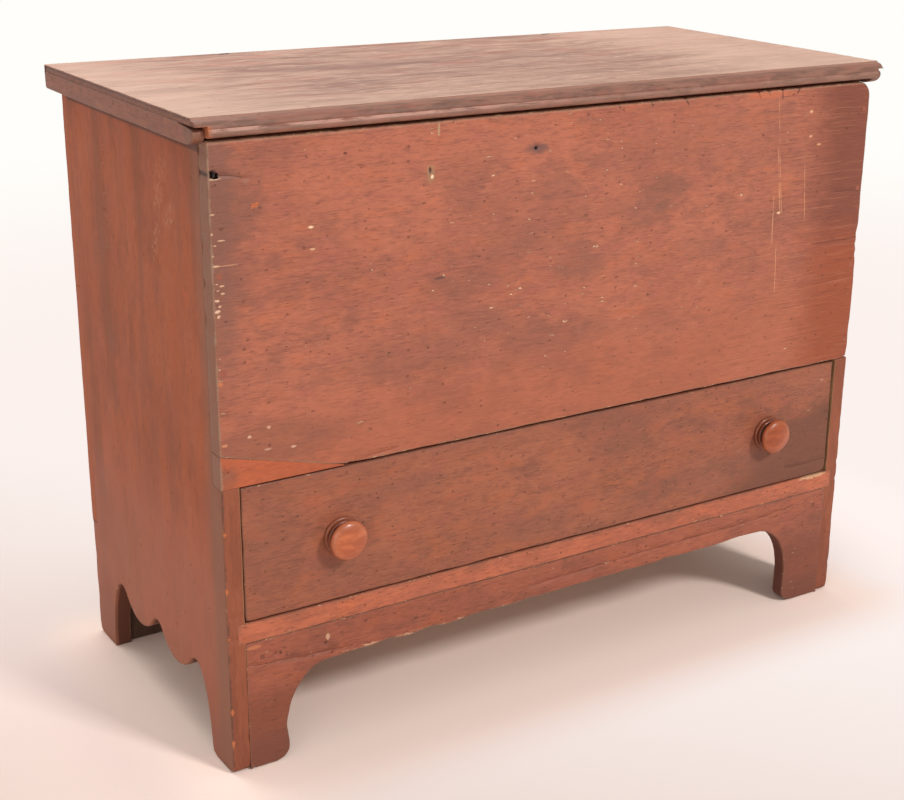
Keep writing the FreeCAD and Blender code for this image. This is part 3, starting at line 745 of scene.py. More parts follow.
def side_finish(name, seed):
    """Vertical bands of tone, a dull brown strip beside the front arris, a redder front edge, and painted
    shade under the batten and on the arch's cut faces.
    """
    f = Finish(name, "zyx", seed)
    paint(f, SIDE_TONE, 0.4, 0.8)
    bands = f.noise(42, 4, 0.55, 14)
    f.cover(f.ramp(bands, 0.50, 0.64) * 0.55, tinted(SIDE_TONE, 0.80, 0.86, 0.92))
    f.cover(f.ramp(bands, 0.48, 0.36) * 0.4, tinted(SIDE_TONE, 1.05, 1, 0.92))
    torn = f.noise(30, 5, 0.65, 3) - 0.5
    f.cover(f.ramp(f.z + torn * 120, 360, 180) * 0.6, (163, 102, 82))
    f.cover(f.ramp(f.y + torn * 26, FRONT + 52, FRONT + 20) * 0.8, ARRIS_BROWN)
    f.cover(f.ramp(f.z + torn * 60, 110, 20) * 0.5, (128, 82, 66))
    # Painted shade: the cut faces and the inner face below the arch, under the chest, are darkened.
    cut = f.ramp(abs(f.x), RIGHT - 2.5, RIGHT - 5) * f.ramp(f.z, 125, 112)
    f.cover(cut * 0.8, (78, 46, 36))
    for centre, half in (((-80, 690), (16, 30)), ((-100, 655), (14, 14)), ((-60, 620), (8, 26))):
        scuff = f.mark(centre, half, 0.9, 1, torn, -0.4) * f.ramp(f.noise(3.4, 4, 0.7, 1.6), 0.50, 0.62)
        f.cover(scuff * 0.6, (196, 140, 108))
    flecks(f, -0.03, 0.6, (190, 140, 108))
    pricks(f, 24, 0.2)
    worn_edges(f, 3, (124, 84, 66), (190, 146, 112), 0.6, 0.37)
    front_edge = f.ramp(f.y, FRONT + 1.2, FRONT + 0.3).most(
        f.ramp(f.y, FRONT + 5.5, FRONT + 4) * f.ramp(abs(f.x), RIGHT - 0.8, RIGHT - 1.6))
    reddish = f.blend(f.ramp(f.noise(9, 5, 0.66, 9), 0.40, 0.62), (130, 72, 51), (143, 80, 56))
    reddish = f.blend(f.ramp(f.noise(2.2, 3, 0.62, 7), 0.54, 0.68) * 0.35, reddish, (100, 58, 44))
    f.cover(front_edge * 0.9, reddish)
    crumbs = f.noise(3.4, 4, 0.7, 1.3) - 0.5
    across = abs(abs(f.x) - RIGHT + 0.9) + abs(f.y - FRONT - 0.9) + crumbs * 7
    line = f.ramp(across, 2.8, 0.8) * f.ramp(f.noise(20, 5, 0.66), 0.46, 0.60)
    f.cover(line * 0.65, (86, 60, 50))
    for height_up, reach in ((240, 6.5), (311, 3.5), (84, 6), (42, 6.5), (179, 2.5)):
        away = abs(f.z - height_up) / reach + abs(f.y - FRONT) / 6 + abs(f.x - LEFT - 1.6) / 3.6
        f.cover(f.ramp(away + crumbs * 1.2, 1.1, 0.7) * 0.85, (184, 106, 66))
    # Painted shadow: a dark band on the side just below the lid's batten, where its overhang casts shade.
    batten_shadow_top = BATTEN_LOW - 8.6
    f.cover(f.ramp(f.z + crumbs * 1.5, batten_shadow_top - 3, batten_shadow_top) * 0.7, (84, 50, 38))
    inner = f.ramp(abs(f.x), RIGHT - BOARD + 1.2, RIGHT - BOARD + 0.2) * f.ramp(f.z, 120, 150)
    bare_inside(f, inner)
    return f.finish(satin(f, 0.44), 0.5, 0, 0.2)


def drawer_front_finish():
    """Glowing spots, smudges and a dark right end with pale specks."""
    f = Finish("drawer_front_paint", "xzy", 23)
    paint(f, DRAWER_TONE, 0.55)
    torn = f.noise(40, 5, 0.62, 2) - 0.5
    f.cover(f.ramp(f.noise(30, 5, 0.66, 2.4), 0.53, 0.66) * 0.5, (164, 88, 60))
    slant = f.x - (f.z - 215) * 1.6 + torn * 90
    f.cover(f.ramp(slant, 225, 345) * 0.8, (104, 63, 46))
    f.smudges((
        ((-424, 270), (36, 62), 0.32), ((-330, 235), (40, 40), 0.32), ((80, 330), (60, 30), 0.32),
        ((230, 230), (120, 24), 0.32), ((-60, 225), (70, 16), 0.32), ((-250, 320), (60, 14), 0.32)),
        (114, 74, 60), 1, torn)
    f.cover(f.ramp(f.z + torn * 40, 335, 360) * 0.3, SHADED_BROWN)
    speckled = f.ramp(f.x + torn * 60, 330, 400) * 0.24
    flecks(f, speckled - 0.01, 0.6, (196, 142, 110))
    pricks(f, 14, 0.36)
    worn_edges(f, 2.5, (112, 76, 60), (190, 146, 112), 0.6, 0.37)
    inner_face = high("drawer_front")[1]
    bare_inside(f, f.ramp(f.y, inner_face - 1.2, inner_face - 0.2))
    return f.finish(satin(f, 0.38), 0.5)


def skirt_finish(name, seed, tone, chips):
    """For the skirt and the rail: darker feet, a pale worn arch, spots, two nail holes and painted shade on
    the faces behind the front face.
    """
    f = Finish(name, "xzy", seed)
    paint(f, tone, 0.6)
    torn = f.noise(24, 5, 0.66, 1.6) - 0.5
    f.cover(f.ramp(f.z + torn * 50, 122, 70) * 0.75, (118, 65, 47))
    f.cover(f.ramp(f.z + torn * 50, 60, 10) * 0.6, (104, 62, 50))
    arch_rim = f.ramp(abs(f.z - ARCH_LEFT - 2) + torn * 8, 5, 1.5) * f.ramp(abs(f.x + 180), 170, 120)
    arch_rim = arch_rim * f.ramp(f.noise(3, 4, 0.7, 3), 0.46, 0.58)
    f.cover(arch_rim * 0.8, (214, 172, 136))
    crumbs = f.noise(3, 4, 0.68, 1.8) - 0.5
    f.spots((
        ((434, RAIL_TOP - 2), (24, 3.6), (206, 164, 124)), ((-450, 161.3), (9, 2.4), (188, 116, 76)),
        ((-354, 149), (2.6, 4.6), (200, 160, 128)), ((-357, 142.3), (2, 2.2), (54, 32, 26)),
        ((-417, 145.6), (1.8, 2), (54, 32, 26))), 0.7, crumbs)
    # Painted shade: every face behind the front face, the cut edges of the arch and feet and the back, is
    # darkened.
    f.cover(f.ramp(f.y, FRONT + 2.2, FRONT + 4.5) * 0.75, (84, 46, 36))
    flecks(f, chips, 0.7, (200, 160, 122))
    pricks(f, 12, 0.36)
    worn_edges(f, 3, (120, 82, 64), (206, 164, 124), 0.5, 0.39)
    return f.finish(satin(f, 0.44), 0.6)


def patch_finish():
    """Fresher paint, worn at the left end."""
    f = Finish("patch_paint", "xzy", 63)
    paint(f, PATCH_TONE, 0.2, 0.7)
    pricks(f, 14, 0.2)
    torn = f.noise(12, 5, 0.65) - 0.5
    f.cover(f.mark((LEFT + 6, 378), (16, 15), 0.9, 0.8, torn) * 0.5, (112, 76, 60))
    left_arris(f)
    return f.finish(0.5, 0.4)


def lid_finish(name, seed):
    """Paint scrubbed almost away: tan wood with wavy brown and reddish streaks along the lid."""
    f = Finish(name, "xyz", seed)
    sway = (f.noise(60, 3, 0.5, 2.5) - 0.5) * 44
    broad = f.noise(40, 4, 0.6, 5, sway)
    streak = f.noise(9, 5, 0.66, 10, sway)
    fine = f.noise(2.2, 3, 0.65, 18, sway)
    cloud = f.noise(120, 4, 0.6, 1.5) - 0.5
    f.colour = f.blend(f.ramp(broad * 0.5 + streak * 0.5, 0.40, 0.58), (138, 100, 84), (186, 146, 126))
    behind = f.ramp(f.y + cloud * 200, -110, 40)
    red = f.ramp(f.noise(26, 5, 0.66, 5, sway), 0.48, 0.62) * (0.35 + 0.65 * behind)
    f.cover(red * 0.55, (170, 104, 84))
    f.cover(f.mark((-20, 10), (230, 200), 0.95, 0.6, cloud) * 0.3, (142, 102, 86))
    f.cover(f.ramp(f.y + cloud * 120, -90, -170) * 0.4, (176, 138, 118))
    lines = f.ramp(fine, 0.50, 0.66) * f.ramp(streak, 0.32, 0.54)
    f.cover(lines * 0.65, (118, 80, 66))
    dark_lines = f.ramp(f.noise(1.6, 2, 0.6, 40, sway), 0.60, 0.70) * f.ramp(broad, 0.40, 0.56)
    f.cover(dark_lines * 0.5, (92, 62, 52))
    f.cover(f.ramp(f.noise(2.8, 3, 0.6, 14, sway), 0.54, 0.68) * 0.5, (218, 178, 154))
    f.cover(f.ramp(abs(f.x + 60) + cloud * 120, 250, 420) * 0.45, (210, 172, 150))
    f.cover(f.mark((-180, 60), (110, 28), 0.9, 0.9, broad - 0.5) * 0.45, (116, 80, 68))
    f.height = fine * 0.7 + streak * 0.6 + broad * 0.3
    pricks(f, 22, 0.2)
    lid_moulding(f, fine)
    rubbed = f.ramp(f.edge() + (f.noise(10, 5, 0.7) - 0.5) * 8, 2.5, 0)
    f.cover(rubbed * 0.3, (150, 110, 92))
    end_grain = f.ramp(abs(f.x), LID_HIGH[0] - 0.9, LID_HIGH[0] - 0.3)
    f.cover(end_grain, f.blend(f.ramp(fine, 0.40, 0.60), (112, 70, 54), (140, 88, 66)))
    under = f.ramp(f.z, LID_LOW[2] + 1.2, LID_LOW[2] + 0.2) * f.ramp(f.y, FRONT - 4, FRONT + 2)
    bare_inside(f, under * f.ramp(abs(f.x), RIGHT - 1, RIGHT - 4))
    return f.finish(satin(f, 0.4), 0.6)


def lid_moulding(f, fine):
    """Brown edges, a paler shelf behind the bevel and a painted highlight along the bead's top, strongest on
    the left half.
    """
    below = LID_HIGH[2] - f.z
    front_part = f.ramp(f.y, BEVEL_BACK + 1.5, BEVEL_BACK + 0.5)
    brown = f.blend(f.ramp(f.noise(6, 5, 0.64, 6), 0.42, 0.60), (104, 70, 56), (130, 88, 72))
    brown = f.blend(f.ramp(f.noise(16, 4, 0.6, 3), 0.50, 0.64) * 0.6, brown, (138, 82, 66))
    f.cover(f.ramp(below, 1, 1.5).most(front_part) * 0.95, brown)
    shelf = f.ramp(f.y, BEVEL_BACK - 3, BEVEL_BACK - 2.2) * f.ramp(f.y, BEVEL_BACK + 0.6, BEVEL_BACK - 0.2)
    f.cover(shelf * 0.5, (164, 122, 104))
    # Painted highlight: a pale band along the top of the bead, strongest on the left half.
    nose_top = LID_HIGH[2] - LID_BEVEL[1] - QUIRK[1]
    nose = f.ramp(f.z, nose_top - 3.6, nose_top - 1.8) * f.ramp(f.z, nose_top + 0.7, nose_top + 0.1)
    nose = nose * f.ramp(f.y, FRONT, FRONT - 4) * f.ramp(f.noise(9, 5, 0.66, 5), 0.38, 0.54)
    f.cover(nose * (0.2 + 0.55 * f.ramp(f.x, 60, -240)), (196, 150, 134))
    split = f.mark((LID_LOW[0] + 9, BEVEL_BACK - 9), (9, 12), 0.6, 0.6, fine - 0.5)
    f.cover(split * f.ramp(below, 7, 9) * 0.8, (170, 92, 52))


def batten_finish(name, seed):
    """A duller nose and the fresh wood of the split behind it."""
    f = Finish(name, "yzx", seed)
    paint(f, BATTEN_TONE)
    f.cover(f.ramp(f.noise(18, 5, 0.66, 2.6), 0.50, 0.64) * 0.6, (156, 96, 68))
    f.cover(f.ramp(f.y, FRONT + 34, FRONT + 10) * 0.6, (120, 84, 67))
    worn_edges(f, 2.6, (124, 90, 74), (196, 158, 128), 0.6, 0.38)
    split = f.ramp(f.z, BATTEN_TOP - 3.2, BATTEN_TOP - 2.2) * f.ramp(f.y, FRONT + 12, FRONT)
    f.cover(split * 0.8, (196, 104, 52))
    return f.finish(0.48, 0.5)


def pine_finish(name, grain, seed, tones, painted_ends=False):
    """Unpainted pine gone brown, with year rings as dark lines, paler streaks and dust."""
    f = Finish(name, grain, seed)
    dark, middle, light = tones
    wave = f.noise(48, 3, 0.5, 8)
    rings = wave.math("SINE", wave * 46)
    fine = f.noise(2.2, 3, 0.6, 30)
    cloud = f.noise(140, 5, 0.62)
    f.colour = f.blend(f.ramp(cloud * 0.5 + fine * 0.5, 0.36, 0.64), dark, middle)
    f.cover(f.ramp(rings, 0.55, 1) * 0.4, dark)
    f.cover(f.ramp(fine, 0.55, 0.75) * 0.4, light)
    f.height = fine * 0.6 + rings * 0.12
    pricks(f, 30, 0.2)
    if painted_ends:
        f.cover(f.ramp(abs(f.x) + (cloud - 0.5) * 3, RIGHT - 2, RIGHT - 1), SIDE_TONE)
    return f.finish(0.62, 0.4)


def knob_finish(name, seed, centre_x, tint):
    """Turned hardwood: grain across the face, polished, with painted shade behind the rim and in the grooves.
    """
    f = Finish(name, "xzy", seed)
    dx = f.x - centre_x
    dz = f.z - KNOB_Z
    spin = dx.math("SQRT", dx * dx + dz * dz)
    grain = f.noise(9, 4, 0.6, 3)
    dull, bright = tinted(tint, 0.90, 0.86, 0.84), tinted(tint, 1.05, 1.08, 1.10)
    f.colour = f.blend(f.ramp(grain, 0.36, 0.64), dull, bright)
    rings = f.noise(2.4, 3, 0.6, 4)
    f.cover(f.ramp(rings, 0.50, 0.70) * 0.4, tinted(tint, 0.80, 0.74, 0.76))
    worn = f.ramp(spin + (grain - 0.5) * 8, 15, 22) * f.ramp(f.y, KNOB_FRONT + 11, KNOB_FRONT + 6)
    f.cover(worn * 0.45, tinted(tint, 0.98, 1.12, 1.30))
    # Painted shade: the neck behind the rim and its grooves are darkened, darkest close to the neck.
    back = f.ramp(f.y, KNOB_FRONT + 8, KNOB_FRONT + 12)
    f.cover(back * 0.75, (112, 58, 38))
    f.cover(back * f.ramp(spin, 21, 19) * 0.8, (62, 30, 20))
    f.height = grain * 0.5 + rings * 0.3
    return f.finish(0.34, 0.3, 0.12, 0.4)


def iron_finish(name, tint, rust, metallic=0):
    """Iron, or with no metal in it the paint over a nail's head."""
    f = Finish(name, "xzy", 4)
    f.height = f.noise(2.5, 4, 0.65)
    f.colour = f.blend(f.ramp(f.height, 0.40, 0.62), tint, rust)
    f.shader.inputs["Metallic"].default_value = metallic
    return f.finish(0.55, 0.2)


def front_nail_finish():
    """Nail heads under the paint: the patch's tone in the patch, dark in the broken corner."""
    f = Finish("front_nails_paint", "xzy", 4)
    f.height = f.noise(2.5, 4, 0.65)
    patchy = f.ramp(f.height, 0.40, 0.62)
    f.colour = f.blend(patchy, (152, 86, 66), (136, 76, 58))
    in_patch = f.ramp(f.z, PATCH_TOP + 2, PATCH_TOP - 2) * f.ramp(f.x, PATCH_RIGHT, PATCH_RIGHT - 10)
    f.cover(in_patch, f.blend(patchy, tinted(PATCH_TONE, 0.98, 0.96, 0.96), PATCH_TONE))
    f.cover(f.mark(FRONT_NAIL, (14, 14), 0.3), (40, 26, 22))
    return f.finish(0.6, 0.2)


# ---- Case boards ------------------------------------------------------------

PATCH_TIP = 1
CORNER = 22
SCALLOP_SPAN = 161
SCALLOP_HEIGHT = 108
SCALLOP_CORNER = 39
LOBE_DROP = 30
NOTCH_RADIUS = 21
BACK_FOOT = 90
BACK_ARCH = 120
BRACKET = (58, 71)


def patch_seam(u, w):
    """True where the front board's outline meets the patch."""
    slope = (PATCH_TOP - OPENING_TOP) / (PATCH_RIGHT - LEFT)
    above = w - (PATCH_TOP - (u - LEFT) * slope)
    return (above < 3) & (u < PATCH_RIGHT + 4)


def make_front_board():
    """A rectangle with a quarter circle at its upper right corner and a slanting cut at the
    lower left one, where the patch sits."""
    outline = np.concatenate([
        path((PATCH_RIGHT + 3, OPENING_TOP), (RIGHT, OPENING_TOP), step=2.5),
        path((RIGHT, OPENING_TOP), (RIGHT, FRONT_TOP - CORNER), step=2),
        bow((RIGHT - CORNER, FRONT_TOP - CORNER), (CORNER, CORNER), 0, 90, 1.5),
        path((RIGHT - CORNER, FRONT_TOP), (LEFT, FRONT_TOP), step=2.5),
        path((LEFT, FRONT_TOP), (LEFT, PATCH_TOP + 0.4), step=2),
        path((LEFT, PATCH_TOP + 0.4), (PATCH_RIGHT + 3, OPENING_TOP), step=2.5)])
    bites = [
        ((LEFT, 721), 4, 1), ((LEFT, 745), 6, 0.8), ((RIGHT, 546), 8, 2.4), ((RIGHT, 531), 6, 3),
        ((RIGHT, 517), 6, 2.2), ((RIGHT, 610), 14, 0.8), ((RIGHT, 400), 20, 1.4),
        ((RIGHT, 368), 12, 2.4), ((LEFT, 640), 6, 0.5), ((LEFT, 600), 5, 0.6),
        ((LEFT, 560), 6, 0.5), ((281, FRONT_TOP), 2.6, 2.4), ((298, FRONT_TOP), 2.6, 1.8),
        ((322, FRONT_TOP), 2.4, 2.4), ((352, FRONT_TOP), 3, 1.4), ((160, FRONT_TOP), 3, 1.4),
        ((-330, FRONT_TOP), 4, 1), ((PATCH_RIGHT + 4, OPENING_TOP), 14, 1.4),
        ((-240, OPENING_TOP), 60, 0.8), ((140, OPENING_TOP), 90, 0.7)]
    cracks = [
        ((LEFT + 6, 720), (LEFT + 44, 715.5), 1, 1.6, 5),
        ((430, 611), (RIGHT - 1.5, 607), 0.5, 0.8, 9), ((395, 540), (RIGHT - 1.5, 541), 0.6, 1, 11),
        ((-326, 367.8), (-255, 372.6), 1, 1.4, 13)]
    pits = [
        (FRONT_NAIL, 4.4, 9, 7), (SPENT_NAIL, 1.9, 3, 8), ((-211, 701), 1.6, 2, 6),
        ((-27, 578.9), 1.3, 1.2, 6), ((-300, 712), 1.3, 1.2, 6), ((-344, 640), 1.2, 1, 6)]
    rub = eased(lambda u, w: (u < LEFT + 2) | patch_seam(u, w), 0.05, 0.8)
    plank("old_front_board", outline, (FRONT, FRONT + BOARD), "front", "case",
          front_board_finish(), "front_board", 8, eased(patch_seam, 0.35, 1.5), rub, bites, cracks, pits,
          warp=0.35, seed=3, back_arris=0.08)


def make_patch():
    """A long wedge below the slanting cut, its thin end blunt."""
    outline = path(
        (LEFT, OPENING_TOP), (PATCH_RIGHT, OPENING_TOP), (PATCH_RIGHT, OPENING_TOP + PATCH_TIP),
        (LEFT, PATCH_TOP), (LEFT, OPENING_TOP))
    plank("corner_patch", outline, (FRONT + 0.2, FRONT + BOARD), "front", "case",
          patch_finish(), "front_board_patch", arris=0.3, rub=0.1, pits=[((LEFT + 9, 385), 1.6, 1.5, 6)],
          warp=0.1, seed=7, back_arris=0.15)


def side_outline():
    """The end of the chest from the side, y across and z up. Between the feet hang two lobes,
    arcs of a wide circle that touch the small circles of the three notches beside them, and
    quarter ellipses lead down to the feet."""
    middle = (FRONT + BACK) / 2
    pitch = (SCALLOP_SPAN - SCALLOP_CORNER) / 2
    both = (pitch ** 2 + LOBE_DROP ** 2) / (2 * LOBE_DROP)
    notch_z = SCALLOP_HEIGHT - NOTCH_RADIUS
    lobe_z = notch_z + both - LOBE_DROP
    lean = math.degrees(math.asin(pitch / both))
    first, last = middle - SCALLOP_SPAN, middle + SCALLOP_SPAN
    corner = (SCALLOP_CORNER, SCALLOP_HEIGHT)

    def notch(y, start, end):
        return bow((y, notch_z), (NOTCH_RADIUS, NOTCH_RADIUS), start, end)

    def lobe(y):
        return bow((y, lobe_z), (both - NOTCH_RADIUS, both - NOTCH_RADIUS), 270 - lean, 270 + lean)

    return np.concatenate([
        path((FRONT, 0), (first, 0)),
        bow((first + SCALLOP_CORNER, 0), corner, 180, 90),
        notch(middle - 2 * pitch, 90, 90 - lean),
        lobe(middle - pitch),
        notch(middle, 90 + lean, 90 - lean),
        lobe(middle + pitch),
        notch(middle + 2 * pitch, 90 + lean, 90),
        bow((last - SCALLOP_CORNER, 0), corner, 90, 0),
        path((last, 0), (FOOT_BACK, 0), (FOOT_BACK, BACK_BOARD_LOW), (BACK_INNER, BACK_BOARD_LOW),
             (BACK_INNER, SIDE_TOP), (FRONT + BOARD, FRONT_TOP), (FRONT + BOARD, OPENING_TOP),
             (FRONT, OPENING_TOP), (FRONT, 0))])


def side_seam(u, w):
    """True where the side's outline meets the front board or the back boards."""
    at_front = (u < FRONT + BOARD + 1) & (u > FRONT + 1) & (w > OPENING_TOP - 1) & (w < FRONT_TOP + 1)
    at_back = (u > BACK_INNER - 1) & (w > BACK_BOARD_LOW - 1)
    return at_front | at_back


def make_sides():
    """The scalloped outline with its show face outward, left and right as mirror images; each
    has noise of its own."""
    middle = (FRONT + BACK) / 2
    bites = [
        ((FRONT, 0), 9, 2.6), ((FOOT_BACK, 0), 8, 2.2), ((FRONT, 120), 16, 0.9), ((FRONT, 245), 10, 0.8),
        ((middle - SCALLOP_SPAN, 0), 9, 2.4), ((middle, 108), 10, 0.8), ((FOOT_BACK, 60), 16, 1.4),
        ((FOOT_BACK, 110), 14, 1.2), ((FRONT, 44), 5, 1), ((FRONT, 205), 4, 1.2), ((FRONT, 178), 3, 1.4)]
    cracks = [((-60, 150), (-60, 92), 0.6, 0.8, 3), ((100, 700), (100.5, 560), 0.5, 0.6, 4)]
    sides = (("left", (LEFT, LEFT + BOARD), 71, cracks, 21), ("right", (RIGHT, RIGHT - BOARD), 91, [], 31))
    for side, depth, noise_seed, side_cracks, seed in sides:
        plank("old_side_" + side, side_outline(), depth, "side", "case",
              side_finish(side + "_side_paint", noise_seed), "side_board_" + side,
              arris=eased(side_seam, 0.08, 1.8), rub=eased(side_seam, 0.02, 0.7), bites=bites,
              cracks=side_cracks, warp=0.3, seed=seed, back_arris=0.15)


def skirt_outline(foot_left, foot_right, arch_left, arch_right, top, worn):
    """Two bracket feet and an arch with quarter ellipses at its ends; the feet's inner corners
    are worn round to this radius."""
    left, right = LEFT + BOARD, RIGHT - BOARD
    across, rise = BRACKET
    return np.concatenate([
        path((left, 0), (foot_left - worn, 0)),
        bow((foot_left - worn, worn), (worn, worn), 270, 360),
        path((foot_left, worn), (foot_left, arch_left - rise)),
        bow((foot_left + across, arch_left - rise), BRACKET, 180, 90),
        path((foot_left + across, arch_left), (foot_right - across, arch_right)),
        bow((foot_right - across, arch_right - rise), BRACKET, 90, 0),
        path((foot_right, arch_right - rise), (foot_right, worn)),
        bow((foot_right + worn, worn), (worn, worn), 180, 270),
        path((foot_right + worn, 0), (right, 0), (right, top), (left, top), (left, 0))])


def skirt_seam(u, w):
    """True where the skirt's outline meets the rail or the sides."""
    return (w > RAIL_LOW - 1) | (u < LEFT + BOARD + 1) | (u > RIGHT - BOARD - 1)


def make_skirts():
    """In front unequal feet and an arch that rises to the right, at the back equal feet and a
    level arch."""
    outline = skirt_outline(FOOT_LEFT, FOOT_RIGHT, ARCH_LEFT, ARCH_RIGHT, RAIL_LOW, 17)
    bites = [
        ((FOOT_LEFT - 8, 0), 12, 1.2), ((FOOT_RIGHT + 8, 0), 14, 1.4), ((LEFT + BOARD, 0), 8, 1),
        ((-130, 120), 34, 2), ((20, 121), 40, 1.8), ((170, 123), 22, 1.8), ((-270, 119), 14, 2.4),
        ((-210, 119), 18, 1.6), ((FOOT_LEFT, 46), 12, 2.6), ((-60, 120), 12, 1.4),
        ((95, 122), 12, 1.2), ((300, 125), 20, 1.4)]
    cracks = [
        ((LEFT + 26, 139), (-394, 132), 1.2, 1.6, 41), ((-394, 132), (-322, 127.5), 1, 1.4, 42),
        ((-60, 142), (331, 147.5), 1, 1.3, 43), ((331, 147.8), (400, 153), 0.9, 1.2, 44)]
    pits = [((-423, 146), 2, 2.5, 8), ((-356, 142), 1.6, 2, 7), ((-349, 126), 2, 2.5, 7)]
    plank("old_front_skirt", outline, (FRONT, FRONT + 20), "front", "case",
          skirt_finish("front_skirt_paint", 111, SKIRT_TONE, 0.04), "front_skirt", 8,
          eased(skirt_seam, 0.35, 1.8), eased(skirt_seam, 0.12, 1.3), bites, cracks, pits, 0.3, 51, 0.15)
    outline = skirt_outline(LEFT + BACK_FOOT, RIGHT - BACK_FOOT, BACK_ARCH, BACK_ARCH, BACK_BOARD_LOW, 4)
    # The back skirt takes the darkened pine: painted shade under the chest.
    plank("old_back_skirt", outline, (FOOT_BACK, low("back_skirt")[1]), "front", "case",
          pine_finish("back_skirt_pine", "xzy", 5, PINE_DARKENED_AS_SHADE), "back_skirt", 14, 1.2, 0.6, warp=0.3, seed=61)


def plain_board(name, node, finish, arris, pitch, seed, turned=False):
    """A rectangular board that fills the box of its node; turned, it shows its back."""
    lo, hi = low(node), high(node)
    depth = (hi[1], lo[1]) if turned else (lo[1], hi[1])
    plank(name, rectangle(lo[0], hi[0], lo[2], hi[2], 4), depth, "front", "case", finish, node,
          pitch, arris, 0.4, seed=seed)


def make_plain_boards():
    """The rail under the drawer and the two boards of the back."""
    plain_board("old_rail", "drawer_rail",
                skirt_finish("rail_paint", 131, RAIL_TONE, 0.05), 0.9, 8, 71)
    for part, noise_seed, seed in (("upper", 15, 81), ("lower", 25, 82)):
        finish = pine_finish("back_%s_pine" % part, "xzy", noise_seed, OLD_PINE, True)
        plain_board("old_back_" + part, "back_board_" + part, finish, 1.2, 16, seed, True)


def make_drawer_front():
    """A rectangle, most worn at its lower right corner."""
    lo, hi = low("drawer_front"), high("drawer_front")
    bites = [
        ((hi[0], lo[2]), 6, 1.6), ((hi[0], hi[2]), 30, 1), ((180, hi[2]), 160, 0.8),
        ((lo[0], lo[2]), 5, 0.8)]
    plank("old_drawer_front", rectangle(lo[0], hi[0], lo[2], hi[2], 2.5), (lo[1], hi[1]), "front", "drawer",
          drawer_front_finish(), "drawer_front", 8, 1.5, 0.6, bites,
          [((380, 214), (hi[0] - 2, 215), 0.6, 0.8, 62)], warp=0.3, seed=91)


# ---- Lid --------------------------------------------------------------------

LEFT_CORNER = 5
RIGHT_CORNER = 11
END_ROUND = 1.4
BACK_ROUND = 1.5
NOSE = (22, 12.2)
NOSE_ROUND = 5
NOSE_SETBACK = 10
CRACK_LENGTH = 40
CRACK_GAPE = 3.8


def carried(section, stations, top_count, tongue, seed):
    """The lid's closed section carried along X. Near each end it draws in by a quarter
    circle, its front corner is cut back by another, and beyond the tongue's start nothing hangs
    below the tongue. The top is sunk by noise stretched along the grain. Gives points and edge."""
    count = len(section)
    grown = outward(section, 3)
    front = section[:, 0].min()
    left_gap = stations - stations[0]
    right_gap = stations[-1] - stations
    drawn = END_ROUND - np.minimum(left_gap, right_gap)
    shrink = END_ROUND - np.sqrt(END_ROUND ** 2 - np.clip(drawn, 0, None) ** 2)
    cut = 0
    for gap, corner in ((left_gap, LEFT_CORNER), (right_gap, RIGHT_CORNER)):
        cut = cut + corner - np.sqrt(corner ** 2 - np.clip(corner - gap, 0, None) ** 2)
    x = stations[:, None]
    y, z = (section[None, :, k] - grown[None, :, k] * shrink[:, None] for k in (0, 1))
    y = y + cut[:, None] * np.clip(1 - (section[None, :, 0] - front) / 40, 0, 1)
    start, lowest, nose = tongue
    in_tongue = (abs(x) > start) & (z < lowest)
    z = np.where(in_tongue, lowest, z)
    y = np.where(in_tongue, np.maximum(y, nose), y)
    x = np.broadcast_to(x, y.shape)
    sunk = 0.5 + 0.35 * wander(x, y, 90, seed) + 0.3 * wander(x / 9, y, 13, seed + 1)
    sunk = sunk + 0.12 * wander(x / 7, y, 5, seed + 2)
    z = z - np.where(np.arange(count) < top_count, np.clip(sunk, 0, 1.4) * 0.6, 0)
    corner = np.minimum(section[:, 0] - front, section[:, 0].max() - section[:, 0])
    edge = np.minimum(corner[None, :], np.minimum(left_gap, right_gap)[:, None])
    return np.stack([x, y, z], 2).reshape(-1, 3), edge.reshape(-1)


